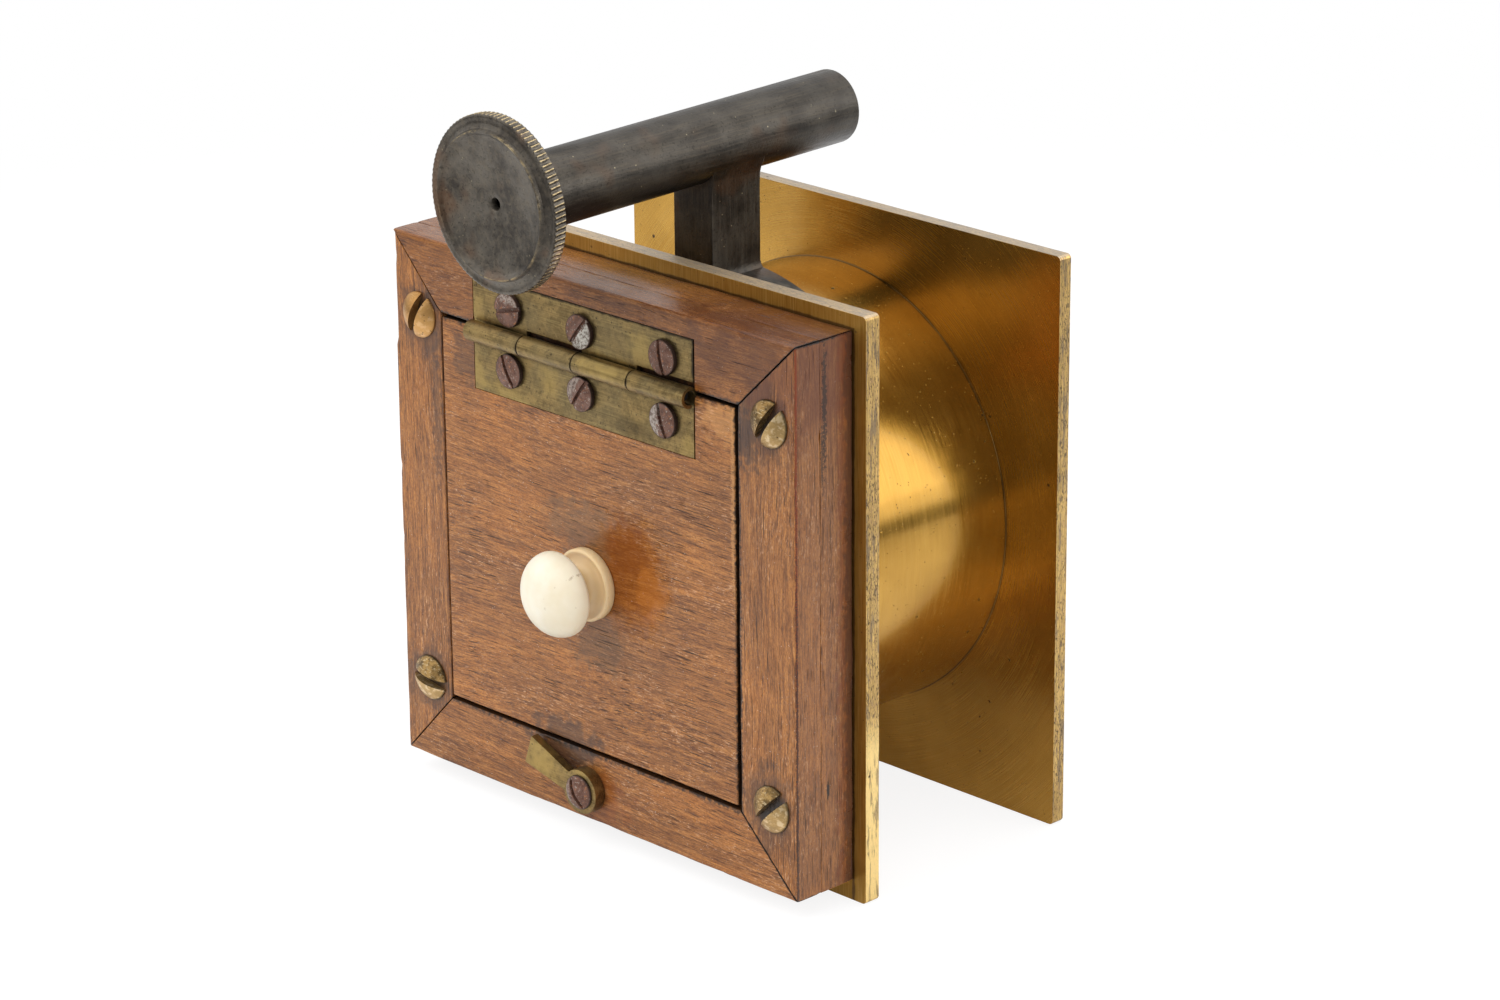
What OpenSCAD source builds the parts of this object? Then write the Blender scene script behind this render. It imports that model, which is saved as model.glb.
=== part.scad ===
// Small wet plate camera: two square brass plates joined by a drum, a mitred wooden back with a hinged
// door, a peep sight above the drum, and a brass mounted landscape lens with its cap on the hidden side.
// Millimetres. +Z is up and +Y runs along the lens axis towards the subject, so the user stands at -Y.
// The origin is the middle of the bottom edge of the rear brass plate.

/* [Brass plates and drum] */
// Width of both brass plates
plate_w = 98; // [94:1:104]
// Height of both brass plates
plate_h = 97.5; // [96:0.5:104]
// Thickness of the rear plate, which carries the wooden back
rear_plate_t = 3; // [2.5:0.1:4]
// Thickness of the front plate, which carries the lens
front_plate_t = 2.6; // [2:0.1:3]
// Radius that the plates' corners are filed to
plate_corner_r = 0.8; // [0.5:0.1:2]
// Length of the drum, which is the gap between the plates
drum_l = 41.2; // [38:0.2:50]
// Outer diameter of the drum
drum_d = 76.1; // [75:0.1:80]
// Thickness of the drum's wall
drum_wall = 2; // [1.5:0.1:2.5]
// Side of the square picture opening in the rear plate
picture_side = 51; // [46:1:52]

/* [Wooden back] */
// Width of the wooden back
back_w = 92.5; // [92:0.5:94]
// Height of the wooden back
back_h = 91.5; // [91:0.5:92.5]
// Height of the wooden back above the plates' bottom edge
back_bottom = 3.5; // [3:0.1:4]
// Depth of the layer that frames the door
door_layer_t = 5.4; // [5.2:0.1:7]
// Depth of the layer that holds the glass plate
plate_layer_t = 7.2; // [7:0.1:9]
// Width of the stile on the user's left
stile_left_w = 11.4; // [11:0.1:12]
// Width of the stile on the user's right
stile_right_w = 12.5; // [12:0.1:13]
// Width of the top and bottom rails around the door
rail_w = 12.05; // [11.8:0.05:12.5]
// Side of the square pocket for the glass plate
pocket_side = 60.5; // [60:0.1:62]

/* [Door] */
// Thickness of the door
door_t = 5.1; // [4.8:0.1:5.1]
// Gap at the door's left edge
door_gap_left = 0.3; // [0.3:0.05:0.5]
// Gap at the door's right edge
door_gap_right = 0.7; // [0.3:0.05:0.9]
// Gap under the door
door_gap_bottom = 0.6; // [0.55:0.05:0.8]
// Gap over the door
door_gap_top = 0.5; // [0.4:0.05:0.6]
// Distance of the knob's axis to the left of the camera's middle
knob_left = 0.4; // [0:0.1:3]
// Height of the knob's axis
knob_z = 45.05; // [44:0.05:46]
// Radius of the knob's cap
knob_r = 7; // [5:0.1:8]
// Radius of the knob's foot
knob_foot_r = 6.05; // [4.5:0.05:7]
// How far the knob stands out of the door
knob_h = 11.8; // [10.5:0.1:12]

/* [Hinge] */
// Length of the hinge
hinge_l = 50.9; // [48:0.1:54]
// Distance of the hinge's middle to the left of the camera's middle
hinge_left = 1.3; // [0:0.1:3]
// Height of the leaf on the top rail, measured from the pin
upper_leaf_h = 9.3; // [9:0.1:10]
// Height of the leaf on the door, measured from the pin
lower_leaf_h = 10.1; // [9:0.1:11]
// Thickness of both leaves
leaf_t = 1; // [0.8:0.1:1.2]
// Radius of the knuckles
knuckle_r = 1.75; // [1.6:0.05:1.9]
// Radius of the hinge pin
hinge_pin_r = 0.8; // [0.6:0.05:0.9]

/* [Turn button] */
// Distance of the pivot to the left of the camera's middle
button_left = 1.45; // [0:0.05:3]
// Height of the pivot
button_z = 9.05; // [8.8:0.05:9.1]
// Radius of the boss
button_boss_r = 3.8; // [3.5:0.1:4]
// Thickness of the boss
button_boss_t = 2.2; // [2.1:0.1:2.6]
// Thickness of the arm
button_arm_t = 1.5; // [1:0.1:1.6]
// Length of the arm from the pivot to its tip
button_arm_l = 12.95; // [10:0.05:13]
// Width of the arm at its tip
button_tip_w = 5.3; // [4:0.1:5.4]
// Width of the arm where it leaves the boss
button_root_w = 3.7; // [3:0.1:4]
// Direction of the arm, counted from the user's right and upwards
button_angle = 161.6; // [161:0.1:175]

/* [Peep sight] */
// Outer diameter of the sighting tube
sight_d = 12.2; // [11.4:0.1:12.4]
// Thickness of the tube's wall
sight_wall = 1; // [0.8:0.1:1.2]
// Length of the tube
sight_l = 72.3; // [66:0.1:76]
// Height of the tube's axis above the post
sight_z = 112.9; // [110:0.1:114]
// Upward tilt of the tube towards the subject
sight_tilt = 1; // [0:0.5:1]
// How far the tube reaches behind the middle of the post
sight_back_l = 45.65; // [44:0.05:47]
// Width of the post
post_w = 8.8; // [8:0.1:10]
// Depth of the post along the tube
post_depth = 10.8; // [10:0.1:12]
// Place of the middle of the post along the lens axis
post_y = 14.95; // [13:0.05:17]
// Width of the saddle that sits on the drum
saddle_w = 34; // [32:1:38]
// Thickness of the saddle
saddle_t = 5; // [4.5:0.1:5.5]
// Radius of the eyepiece disc
disc_r = 14.3; // [13.5:0.1:14.5]
// Thickness of the eyepiece disc at its milled edge
disc_t = 2.35; // [2:0.05:2.6]
// Radius of the raised lip on the disc
lip_r = 11.7; // [11:0.1:12]
// Radius of the peephole
peephole_r = 1; // [0.6:0.1:1.4]

/* [Lens] */
// Outer radius of the lens barrel
barrel_r = 12; // [11.8:0.1:12]
// Length of the barrel in front of the front plate
barrel_l = 18.7; // [18:0.1:19]
// Radius of the lens flange
flange_r = 18; // [17.5:0.1:18.5]
// Thickness of the lens flange
flange_t = 2.5; // [2:0.1:3]
// Radius of the hole in the aperture stop
stop_r = 2.2; // [1:0.1:4]

/* [Hidden] */
$fn = 96;

// Colours
walnut = [0.52, 0.27, 0.16];
walnut_dark = [0.40, 0.20, 0.12];
lacquered_brass = [0.72, 0.52, 0.20];
aged_brass = [0.52, 0.46, 0.26];
rusty_steel = [0.40, 0.25, 0.18];
blackened_brass = [0.20, 0.17, 0.15];
bone = [0.93, 0.89, 0.78];
optical_glass = [0.80, 0.88, 0.88];
dark_velvet = [0.10, 0.09, 0.12];

// A hair more than nothing, so that cutters run clear of the faces that they cut
eps = 0.01;
// Radial clearance of a screw in its hole and of a shaft in its bore
running_gap = 0.05;
// Clearance between the knuckles and the wood
knuckle_gap = 0.3;
// Clearance between a leaf's knuckles and the cut-outs of the other leaf
leaf_cut_gap = 0.55;

// Planes along the lens axis
rear_plate_back = -rear_plate_t / 2;
rear_plate_front = rear_plate_t / 2;
layer_seam = rear_plate_back - plate_layer_t;
wood_face = layer_seam - door_layer_t;
front_plate_back = rear_plate_front + drum_l;
front_plate_front = front_plate_back + front_plate_t;
lens_axis_z = plate_h / 2;

// Rectangles of the wooden back seen by the user: [left, bottom, right, top]
back_outline = [-back_w / 2, back_bottom, back_w / 2, back_bottom + back_h];
doorway = [
    back_outline[0] + stile_left_w,
    back_outline[1] + rail_w,
    back_outline[2] - stile_right_w,
    back_outline[3] - rail_w
];
pocket = [
    -pocket_side / 2, lens_axis_z - pocket_side / 2,
    pocket_side / 2, lens_axis_z + pocket_side / 2
];
door_edges = [
    doorway[0] + door_gap_left, doorway[1] + door_gap_bottom,
    doorway[2] - door_gap_right, doorway[3] - door_gap_top
];
door_back = wood_face + door_t;

// Hinge
hinge_pin_y = wood_face + leaf_t - knuckle_r;
pin_below_doorway = 0.85;
hinge_pin_z = doorway[3] - pin_below_doorway;
hinge_x0 = -hinge_left - hinge_l / 2;
knuckle_count = 4;
knuckle_l = hinge_l / knuckle_count;
knuckle_end_gap = 0.1;
leaf_screw_x = [-18, -1.2, 17.7];
upper_screw_rise = 5.1;
lower_screw_drop = 5.2;
upper_screw_z = hinge_pin_z + upper_screw_rise;
lower_screw_z = hinge_pin_z - lower_screw_drop;
leaf_screw_r = 1.2;
leaf_screw_l = 4.4;
// Heads are given as radius, height of the wall and height of the dome
leaf_screw_head = [2.9, 0.45, 0.4];
leaf_screw_slots = [[14, 52, -78], [-62, 55, -72]];

// Corner screws, which run through both layers of wood into the rear plate
corner_screw_x = [-40.05, 40.7];
corner_screw_z = [17.9, 81.6];
corner_screw_r = 1.5;
corner_screw_head = [3.9, 0.3, 1.5];
corner_screw_short = 0.1;
corner_screw_l = door_layer_t + plate_layer_t + rear_plate_t - corner_screw_short;
corner_screw_slots = [[-10, 45], [67, 57]];

// Slots, as shares of the head's radius and of the dome's height
slot_width_share = 0.22;
slot_depth_share = 0.75;

// Turn button
button_screw_r = 1.5;
button_bore_r = button_screw_r + running_gap;
button_screw_tip_r = 1.2;
button_screw_head = [2.9, 0.3, 1.1];
button_screw_l = 9;
button_pivot = [-button_left, button_z];

// Knob
knob_screw_r = 1.15;
knob_screw_depth = 5.5;
knob_neck_r = 3;
knob_foot_t = 1.9;
knob_rim_h = 6.9;
knob_steps = 12;

// Pressure springs on the inside of the door
spring_t = 0.4;
spring_l = 44;
spring_w = 8;
spring_rise = 3.6;
spring_r = (pow(spring_l / 2, 2) + pow(spring_rise, 2)) / (2 * spring_rise);
spring_z = [lens_axis_z - 11, lens_axis_z + 11.5];
spring_screw_r = 0.9;
spring_screw_l = 3.4;
spring_screw_head = [1.8, 0.2, 0.4];
// The strip rises this much under the edge of the screw's flat head
spring_screw_lift = 0.03;

// Glass plate and the corners that carry it
glass_side = 57.2;
glass_t = 1.5;
corner_ledge_t = 1;
corner_leg = 10;
corner_wall = 1.55;
corner_rise = 3;
glass_back = rear_plate_back - corner_ledge_t - glass_t;

// Peep sight
drum_r = drum_d / 2;
saddle_r = drum_r + saddle_t;
saddle_screw_turn = 16;
saddle_screw_r = 1.2;
saddle_screw_l = 5.2;
saddle_screw_head = [2.3, 0.4, 0.5];
sight_r = sight_d / 2;
sight_bore_r = sight_r - sight_wall;
spigot_r = sight_bore_r - running_gap;
spigot_l = 10;
spigot_bore_r = spigot_r - 0.8;
disc_gap = 0.02;
lip_rise = 1.05;
dish_depth = 1.1;
dish_steps = 8;

// Lens, counted from the front face of the front plate
barrel_tail = 6.8;
barrel_wall = 1.7;
barrel_bore_r = barrel_r - barrel_wall;
ledge_bore_r = barrel_bore_r - 1;
retaining_ring_t = 2;
ring_inset = 0.2;
crown_t = 4;
crown_rim_t = 1.6;
flint_t = 2.4;
glass_curve_r = (pow(barrel_bore_r, 2) + pow((crown_t - crown_rim_t) / 2, 2)) / (crown_t - crown_rim_t);
glass_steps = 8;
stop_seat = 12.7;
stop_t = 1;
hood_r = 13.2;
hood_l = 5.5;
hood_bore_r = 9;
flange_screw_ring_r = 15;
flange_screw_count = 4;
flange_screw_r = 1;
flange_screw_l = 3.4;
flange_screw_head_r = 1.9;
cap_gap = 0.3;
lining_t = 0.5;
cap_wall = 0.9;
cap_bead = 0.3;
cap_edge = 0.7;
cap_skirt_l = 9.4;
cap_end_t = 1.3;
crown_back = front_plate_front - barrel_tail + ring_inset + retaining_ring_t + 0.3;
flint_back = crown_back + (crown_t + crown_rim_t) / 2;
hood_end = front_plate_front + barrel_l + hood_l;

// Places something on a plane that faces the user: local X is the user's right, local Y is up and
// local Z comes out towards the user
module facing_user(x, y, z) {
    translate([x, y, z]) rotate([90, 0, 0]) children();
}

// Places a turned piece on the lens axis, with its local Z towards the subject
module on_lens_axis(y) {
    translate([0, y, lens_axis_z]) rotate([-90, 0, 0]) children();
}

// Places a turned piece on the axis of the sight, with its local Z towards the user
module on_sight_axis(back_l) {
    translate([0, post_y, sight_z]) rotate([90 + sight_tilt, 0, 0]) translate([0, 0, back_l]) children();
}

// Slotted screw with a low dome, its seat on the plane z = 0 and its shank below
module slotted_screw(head, shank_r, shank_l, slot_angle) {
    dome_r = (pow(head[0], 2) + pow(head[2], 2)) / (2 * head[2]);
    slot_depth = head[2] * slot_depth_share;
    slot_w = head[0] * slot_width_share;
    translate([0, 0, -shank_l]) cylinder(r = shank_r, h = shank_l + eps);
    difference() {
        union() {
            cylinder(r = head[0], h = head[1]);
            intersection() {
                translate([0, 0, head[1] + head[2] - dome_r]) sphere(r = dome_r);
                cylinder(r = head[0], h = head[1] + head[2] + eps);
            }
        }
        rotate([0, 0, slot_angle])
            translate([-head[0] - 1, -slot_w / 2, head[1] + head[2] - slot_depth])
                cube([2 * head[0] + 2, slot_w, slot_depth + 1]);
    }
}

// One member of a mitred frame: side 0 is the bottom, 1 the right, 2 the top and 3 the left
function corner_of(box, i) = [box[i == 0 || i == 3 ? 0 : 2], box[i < 2 ? 1 : 3]];
module frame_member(outer, inner, side, y, t) {
    next = (side + 1) % 4;
    facing_user(0, y, 0) linear_extrude(t) polygon([
        corner_of(outer, side), corner_of(outer, next),
        corner_of(inner, next), corner_of(inner, side)
    ]);
}

// Holes for the corner screws, as one cutter
module corner_screw_holes() {
    for (x = corner_screw_x, z = corner_screw_z)
        facing_user(x, wood_face, z) translate([0, 0, -corner_screw_l - 1])
            cylinder(r = corner_screw_r + running_gap, h = corner_screw_l + 2);
}

// Hole for the screw that carries the turn button
module button_screw_hole() {
    facing_user(button_pivot[0], wood_face, button_pivot[1])
        translate([0, 0, -button_screw_l - 0.2])
            cylinder(r = button_screw_tip_r + running_gap, h = button_screw_l + 1);
}

// Holes for one leaf's screws, as one cutter
module leaf_screw_holes(z) {
    for (x = leaf_screw_x)
        facing_user(x, wood_face, z) translate([0, 0, -leaf_screw_l - 0.1])
            cylinder(r = leaf_screw_r + running_gap, h = leaf_screw_l + 1);
}

// Relief for the knuckles, as one cutter over the whole hinge
module knuckle_relief() {
    translate([hinge_x0 - 0.15, hinge_pin_y, hinge_pin_z]) rotate([0, 90, 0])
        cylinder(r = knuckle_r + knuckle_gap, h = hinge_l + 0.3);
}

// Recess in the wood for one leaf, between two heights
module leaf_recess(z0, z1) {
    translate([hinge_x0 - 0.1, wood_face - 1, z0]) cube([hinge_l + 0.2, leaf_t + 1, z1 - z0]);
}

// Members of the front layer
module front_member(side) {
    color(walnut) difference() {
        frame_member(back_outline, doorway, side, layer_seam, door_layer_t);
        if (side == 1 || side == 3) corner_screw_holes();
        if (side == 0) button_screw_hole();
        if (side == 2) {
            leaf_recess(doorway[3] - 1, hinge_pin_z + upper_leaf_h + 0.1);
            knuckle_relief();
            leaf_screw_holes(upper_screw_z);
        }
    }
}
module front_rail_bottom() { front_member(0); }
module front_stile_right() { front_member(1); }
module front_rail_top() { front_member(2); }
module front_stile_left() { front_member(3); }

// Members of the rear layer, whose square pocket takes the glass plate
module rear_member(side) {
    color(walnut_dark) difference() {
        frame_member(back_outline, pocket, side, rear_plate_back, plate_layer_t);
        if (side == 1 || side == 3) corner_screw_holes();
        if (side == 0) button_screw_hole();
    }
}
module rear_rail_bottom() { rear_member(0); }
module rear_stile_right() { rear_member(1); }
module rear_rail_top() { rear_member(2); }
module rear_stile_left() { rear_member(3); }

// Door with its hinge recess, its hole for the knob's screw and its pilot holes
module door_panel() {
    color(walnut) difference() {
        translate([door_edges[0], wood_face, door_edges[1]])
            cube([door_edges[2] - door_edges[0], door_t, door_edges[3] - door_edges[1]]);
        leaf_recess(hinge_pin_z - lower_leaf_h - 0.1, doorway[3]);
        knuckle_relief();
        leaf_screw_holes(lower_screw_z);
        facing_user(-knob_left, door_back, knob_z) {
            translate([0, 0, -1]) cylinder(r = knob_screw_r + running_gap, h = door_t + 2);
            translate([0, 0, -1]) cylinder(r = knob_screw_r * 2 + running_gap, h = 2.2);
        }
        for (z = spring_z)
            facing_user(0, door_back, z) translate([0, 0, -1])
                cylinder(r = spring_screw_r + running_gap, h = spring_screw_l + 1);
    }
}

// Hinge leaf that carries every second knuckle, starting at first; up is 1 or -1
module hinge_leaf(first, up, leaf_h, screw_z) {
    difference() {
        union() {
            translate([hinge_x0, wood_face, min(hinge_pin_z, hinge_pin_z + up * leaf_h)])
                cube([hinge_l, leaf_t, leaf_h]);
            for (i = [first : 2 : knuckle_count - 1])
                translate([hinge_x0 + i * knuckle_l, hinge_pin_y, hinge_pin_z]) rotate([0, 90, 0])
                    cylinder(r = knuckle_r, h = knuckle_l);
        }
        for (i = [1 - first : 2 : knuckle_count - 1])
            translate([hinge_x0 + i * knuckle_l - knuckle_end_gap, hinge_pin_y, hinge_pin_z])
                rotate([0, 90, 0])
                    cylinder(r = knuckle_r + leaf_cut_gap, h = knuckle_l + 2 * knuckle_end_gap);
        translate([hinge_x0 - 1, hinge_pin_y, hinge_pin_z]) rotate([0, 90, 0])
            cylinder(r = hinge_pin_r + running_gap, h = hinge_l + 2);
        leaf_screw_holes(screw_z);
    }
}
module hinge_leaf_upper() {
    color(aged_brass) hinge_leaf(0, 1, upper_leaf_h, upper_screw_z);
}
module hinge_leaf_lower() {
    color(aged_brass) hinge_leaf(1, -1, lower_leaf_h, lower_screw_z);
}
module hinge_pin() {
    color(aged_brass) translate([hinge_x0, hinge_pin_y, hinge_pin_z]) rotate([0, 90, 0])
        cylinder(r = hinge_pin_r, h = hinge_l);
}

// Three screws in one leaf
module leaf_screws(z, slots) {
    for (i = [0 : 2])
        facing_user(leaf_screw_x[i], wood_face, z)
            slotted_screw(leaf_screw_head, leaf_screw_r, leaf_screw_l, slots[i]);
}
module hinge_screws_upper() {
    color(rusty_steel) leaf_screws(upper_screw_z, leaf_screw_slots[0]);
}
module hinge_screws_lower() {
    color(rusty_steel) leaf_screws(lower_screw_z, leaf_screw_slots[1]);
}

// Turned knob: a dished foot, a neck and a domed cap
function dome_points(n) = [
    for (i = [0 : n])
        [knob_r * cos(90 * i / n), knob_rim_h + (knob_h - knob_rim_h) * sin(90 * i / n)]
];
module door_knob() {
    color(bone) facing_user(-knob_left, wood_face, knob_z) difference() {
        rotate_extrude() polygon(concat(
            [
                [0, 0], [knob_foot_r, 0],
                [knob_foot_r, knob_foot_t - 0.3], [knob_foot_r - 0.3, knob_foot_t],
                [knob_foot_r - 0.9, knob_foot_t], [knob_neck_r + 1, knob_foot_t - 0.3],
                [knob_neck_r, knob_foot_t + 0.6], [knob_neck_r, knob_rim_h - 1.9],
                [knob_neck_r + 1.2, knob_rim_h - 1.1], [knob_r - 0.5, knob_rim_h - 0.5]
            ],
            dome_points(knob_steps)
        ));
        translate([0, 0, -1]) cylinder(r = knob_screw_r + running_gap, h = knob_screw_depth + 1.1);
    }
}

// Screw that holds the knob from inside the door
module knob_screw() {
    color(rusty_steel) facing_user(-knob_left, door_back - 1.1, knob_z) {
        cylinder(r = knob_screw_r, h = door_t - 1.1 + knob_screw_depth);
        difference() {
            translate([0, 0, -0.9]) cylinder(r = knob_screw_r * 2, h = 0.9 + eps);
            translate([-3, -0.3, -1]) cube([6, 0.6, 0.6]);
        }
    }
}

// Two bowed strips that press the glass plate against its corners
module pressure_springs() {
    hole_r = spring_screw_r + running_gap;
    color(aged_brass) for (z = spring_z) difference() {
        intersection() {
            translate([0, door_back + spring_r, z - spring_w / 2]) difference() {
                cylinder(r = spring_r, h = spring_w);
                translate([0, 0, -1]) cylinder(r = spring_r - spring_t, h = spring_w + 2);
            }
            translate([-spring_l / 2, door_back - 1, z - spring_w])
                cube([spring_l, spring_rise + 2, 2 * spring_w]);
        }
        facing_user(0, door_back, z) translate([0, 0, -5]) cylinder(r = hole_r, h = 10);
    }
}
module spring_screws() {
    color(lacquered_brass) for (z = spring_z)
        translate([0, door_back + spring_t + spring_screw_lift, z]) rotate([-90, 0, 0])
            slotted_screw(spring_screw_head, spring_screw_r, spring_screw_l, 30);
}

// Turn button with a round boss and a flaring arm that stands clear of the wood
module turn_button() {
    color(aged_brass) facing_user(button_pivot[0], wood_face, button_pivot[1]) difference() {
        union() {
            cylinder(r = button_boss_r, h = button_boss_t);
            rotate([0, 0, button_angle]) translate([0, 0, button_boss_t - button_arm_t])
                linear_extrude(button_arm_t) polygon([
                    [0, -button_root_w / 2], [button_boss_r - 0.4, -button_root_w / 2],
                    [button_arm_l, -button_tip_w / 2], [button_arm_l, button_tip_w / 2],
                    [button_boss_r - 0.4, button_root_w / 2], [0, button_root_w / 2]
                ]);
        }
        translate([0, 0, -1]) cylinder(r = button_bore_r, h = button_boss_t + 2);
    }
}
module turn_button_screw() {
    color(rusty_steel) facing_user(button_pivot[0], wood_face, button_pivot[1]) {
        translate([0, 0, button_boss_t + running_gap])
            slotted_screw(button_screw_head, button_screw_r, button_boss_t + running_gap, -58);
        translate([0, 0, -button_screw_l]) cylinder(r = button_screw_tip_r, h = button_screw_l + eps);
    }
}

// Four round headed screws that hold the wooden back on the rear plate
module corner_screws() {
    color(lacquered_brass) for (i = [0 : 1], j = [0 : 1])
        facing_user(corner_screw_x[i], wood_face, corner_screw_z[j])
            slotted_screw(corner_screw_head, corner_screw_r, corner_screw_l, corner_screw_slots[j][i]);
}

// Four corners in the pocket, each a ledge under the plate and a wall around it
module plate_corner() {
    linear_extrude(corner_ledge_t) polygon([[0, 0], [corner_leg, 0], [0, corner_leg]]);
    cube([corner_leg, corner_wall, corner_rise]);
    cube([corner_wall, corner_leg, corner_rise]);
}
module plate_corners() {
    color(lacquered_brass) facing_user(0, rear_plate_back, lens_axis_z) for (i = [0 : 3])
        rotate([0, 0, 90 * i]) translate([-pocket_side / 2, -pocket_side / 2, 0]) plate_corner();
}
module glass_plate() {
    color(optical_glass) translate([-glass_side / 2, glass_back, lens_axis_z - glass_side / 2])
        cube([glass_side, glass_t, glass_side]);
}

// Brass plate with filed corners, its back at y
module brass_plate(y, t) {
    r = plate_corner_r;
    facing_user(0, y + t, 0) {
        translate([-plate_w / 2 + r, 0, 0]) cube([plate_w - 2 * r, plate_h, t]);
        translate([-plate_w / 2, r, 0]) cube([plate_w, plate_h - 2 * r, t]);
        for (x = [-1, 1], z = [r, plate_h - r])
            translate([x * (plate_w / 2 - r), z, 0]) cylinder(r = r, h = t);
    }
}
module rear_plate() {
    color(lacquered_brass) difference() {
        brass_plate(rear_plate_back, rear_plate_t);
        translate([-picture_side / 2, rear_plate_back - 1, lens_axis_z - picture_side / 2])
            cube([picture_side, rear_plate_t + 2, picture_side]);
        corner_screw_holes();
    }
}
module drum() {
    color(lacquered_brass) difference() {
        on_lens_axis(rear_plate_front) difference() {
            cylinder(r = drum_r, h = drum_l, $fn = 128);
            translate([0, 0, -1]) cylinder(r = drum_r - drum_wall, h = drum_l + 2, $fn = 128);
        }
        saddle_screw_holes();
    }
}
module front_plate() {
    color(lacquered_brass) difference() {
        brass_plate(front_plate_back, front_plate_t);
        on_lens_axis(front_plate_back - 1) cylinder(r = barrel_r + 0.2, h = front_plate_t + 2);
        flange_screw_holes();
    }
}

// Radial screws that hold the saddle from inside the drum; local Z points into the drum
module saddle_screw_places() {
    for (s = [-1, 1])
        translate([0, post_y, lens_axis_z]) rotate([0, s * saddle_screw_turn, 0])
            translate([0, 0, drum_r - drum_wall - 0.2]) rotate([180, 0, 0]) children();
}
module saddle_screw_holes() {
    saddle_screw_places() translate([0, 0, -saddle_screw_l - 0.1])
        cylinder(r = saddle_screw_r + running_gap, h = saddle_screw_l + 2);
}
module saddle_screws() {
    color(lacquered_brass) saddle_screw_places()
        slotted_screw(saddle_screw_head, saddle_screw_r, saddle_screw_l, 20);
}

// Saddle bent to the drum, and the post that stands on it
module finder_saddle() {
    color(blackened_brass) difference() {
        intersection() {
            on_lens_axis(post_y - post_depth / 2) cylinder(r = saddle_r, h = post_depth, $fn = 128);
            translate([-saddle_w / 2, 0, lens_axis_z]) cube([saddle_w, front_plate_back, plate_h]);
        }
        on_lens_axis(0) cylinder(r = drum_r, h = front_plate_back, $fn = 128);
        saddle_screw_holes();
    }
}
module finder_post() {
    color(blackened_brass) difference() {
        translate([-post_w / 2, post_y - post_depth / 2, lens_axis_z])
            cube([post_w, post_depth, sight_z - lens_axis_z]);
        on_lens_axis(0) cylinder(r = saddle_r, h = front_plate_back, $fn = 128);
        on_sight_axis(-sight_l) cylinder(r = sight_r, h = 2 * sight_l);
    }
}
module finder_tube() {
    color(blackened_brass) on_sight_axis(sight_back_l - sight_l) difference() {
        cylinder(r = sight_r, h = sight_l);
        translate([0, 0, -1]) cylinder(r = sight_bore_r, h = sight_l + 2);
    }
}

// Eyepiece: a disc with a raised lip and a shallow dish, on a spigot that slides in the tube
function dish_points(n) = [
    for (i = [n : -1 : 0])
        let (r = peephole_r + (lip_r - 0.9 - peephole_r) * i / n)
            [r, disc_t + lip_rise - dish_depth * (1 - pow(r / lip_r, 2)) - 0.15]
];
module eyepiece_disc() {
    color(blackened_brass) on_sight_axis(sight_back_l) rotate_extrude() polygon(concat(
        [
            [peephole_r, 0.6], [spigot_bore_r, 0.6], [spigot_bore_r, -spigot_l], [spigot_r, -spigot_l],
            [spigot_r, disc_gap], [disc_r, disc_gap], [disc_r, disc_t - 0.3], [disc_r - 0.3, disc_t],
            [lip_r + 0.7, disc_t + lip_rise / 2],
            [lip_r + 0.2, disc_t + lip_rise], [lip_r - 0.4, disc_t + lip_rise]
        ],
        dish_points(dish_steps)
    ));
}

// Lens flange and its countersunk screws
module flange_screw_places() {
    for (i = [0 : flange_screw_count - 1])
        on_lens_axis(front_plate_front + flange_t) rotate([0, 0, 45 + 360 * i / flange_screw_count])
            translate([flange_screw_ring_r, 0, 0]) children();
}
module flange_screw_holes() {
    seat_h = flange_screw_head_r - flange_screw_r;
    hole_r = flange_screw_r + running_gap;
    flange_screw_places() {
        translate([0, 0, -flange_screw_l - 2]) cylinder(r = hole_r, h = flange_screw_l + 3);
        translate([0, 0, -seat_h])
            cylinder(r1 = hole_r, r2 = flange_screw_head_r + running_gap, h = seat_h + eps);
    }
}
module lens_flange() {
    color(lacquered_brass) difference() {
        on_lens_axis(front_plate_front) difference() {
            rotate_extrude() polygon([
                [barrel_r + running_gap, 0], [flange_r, 0], [flange_r, flange_t - 0.6],
                [flange_r - 0.6, flange_t], [barrel_r + running_gap, flange_t]
            ]);
        }
        flange_screw_holes();
    }
}
module flange_screws() {
    head_h = flange_screw_head_r - flange_screw_r;
    color(lacquered_brass) flange_screw_places() difference() {
        union() {
            translate([0, 0, -flange_screw_l])
                cylinder(r = flange_screw_r, h = flange_screw_l - head_h + eps);
            translate([0, 0, -head_h]) cylinder(r1 = flange_screw_r, r2 = flange_screw_head_r, h = head_h);
        }
        translate([-3, -0.25, -0.5]) cube([6, 0.5, 1]);
    }
}

// Barrel with a ledge between the glasses and the aperture stop
module lens_barrel() {
    whole = barrel_tail + barrel_l;
    glass_room = flint_front() - front_plate_front + barrel_tail;
    color(lacquered_brass) on_lens_axis(front_plate_front - barrel_tail) difference() {
        cylinder(r = barrel_r, h = whole);
        translate([0, 0, -1]) cylinder(r = ledge_bore_r, h = whole + 2);
        translate([0, 0, -1]) cylinder(r = barrel_bore_r, h = glass_room + 1);
        translate([0, 0, barrel_tail + stop_seat]) cylinder(r = barrel_bore_r, h = whole);
    }
}
function flint_front() = flint_back + flint_t + (crown_t - crown_rim_t) / 2;

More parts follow.
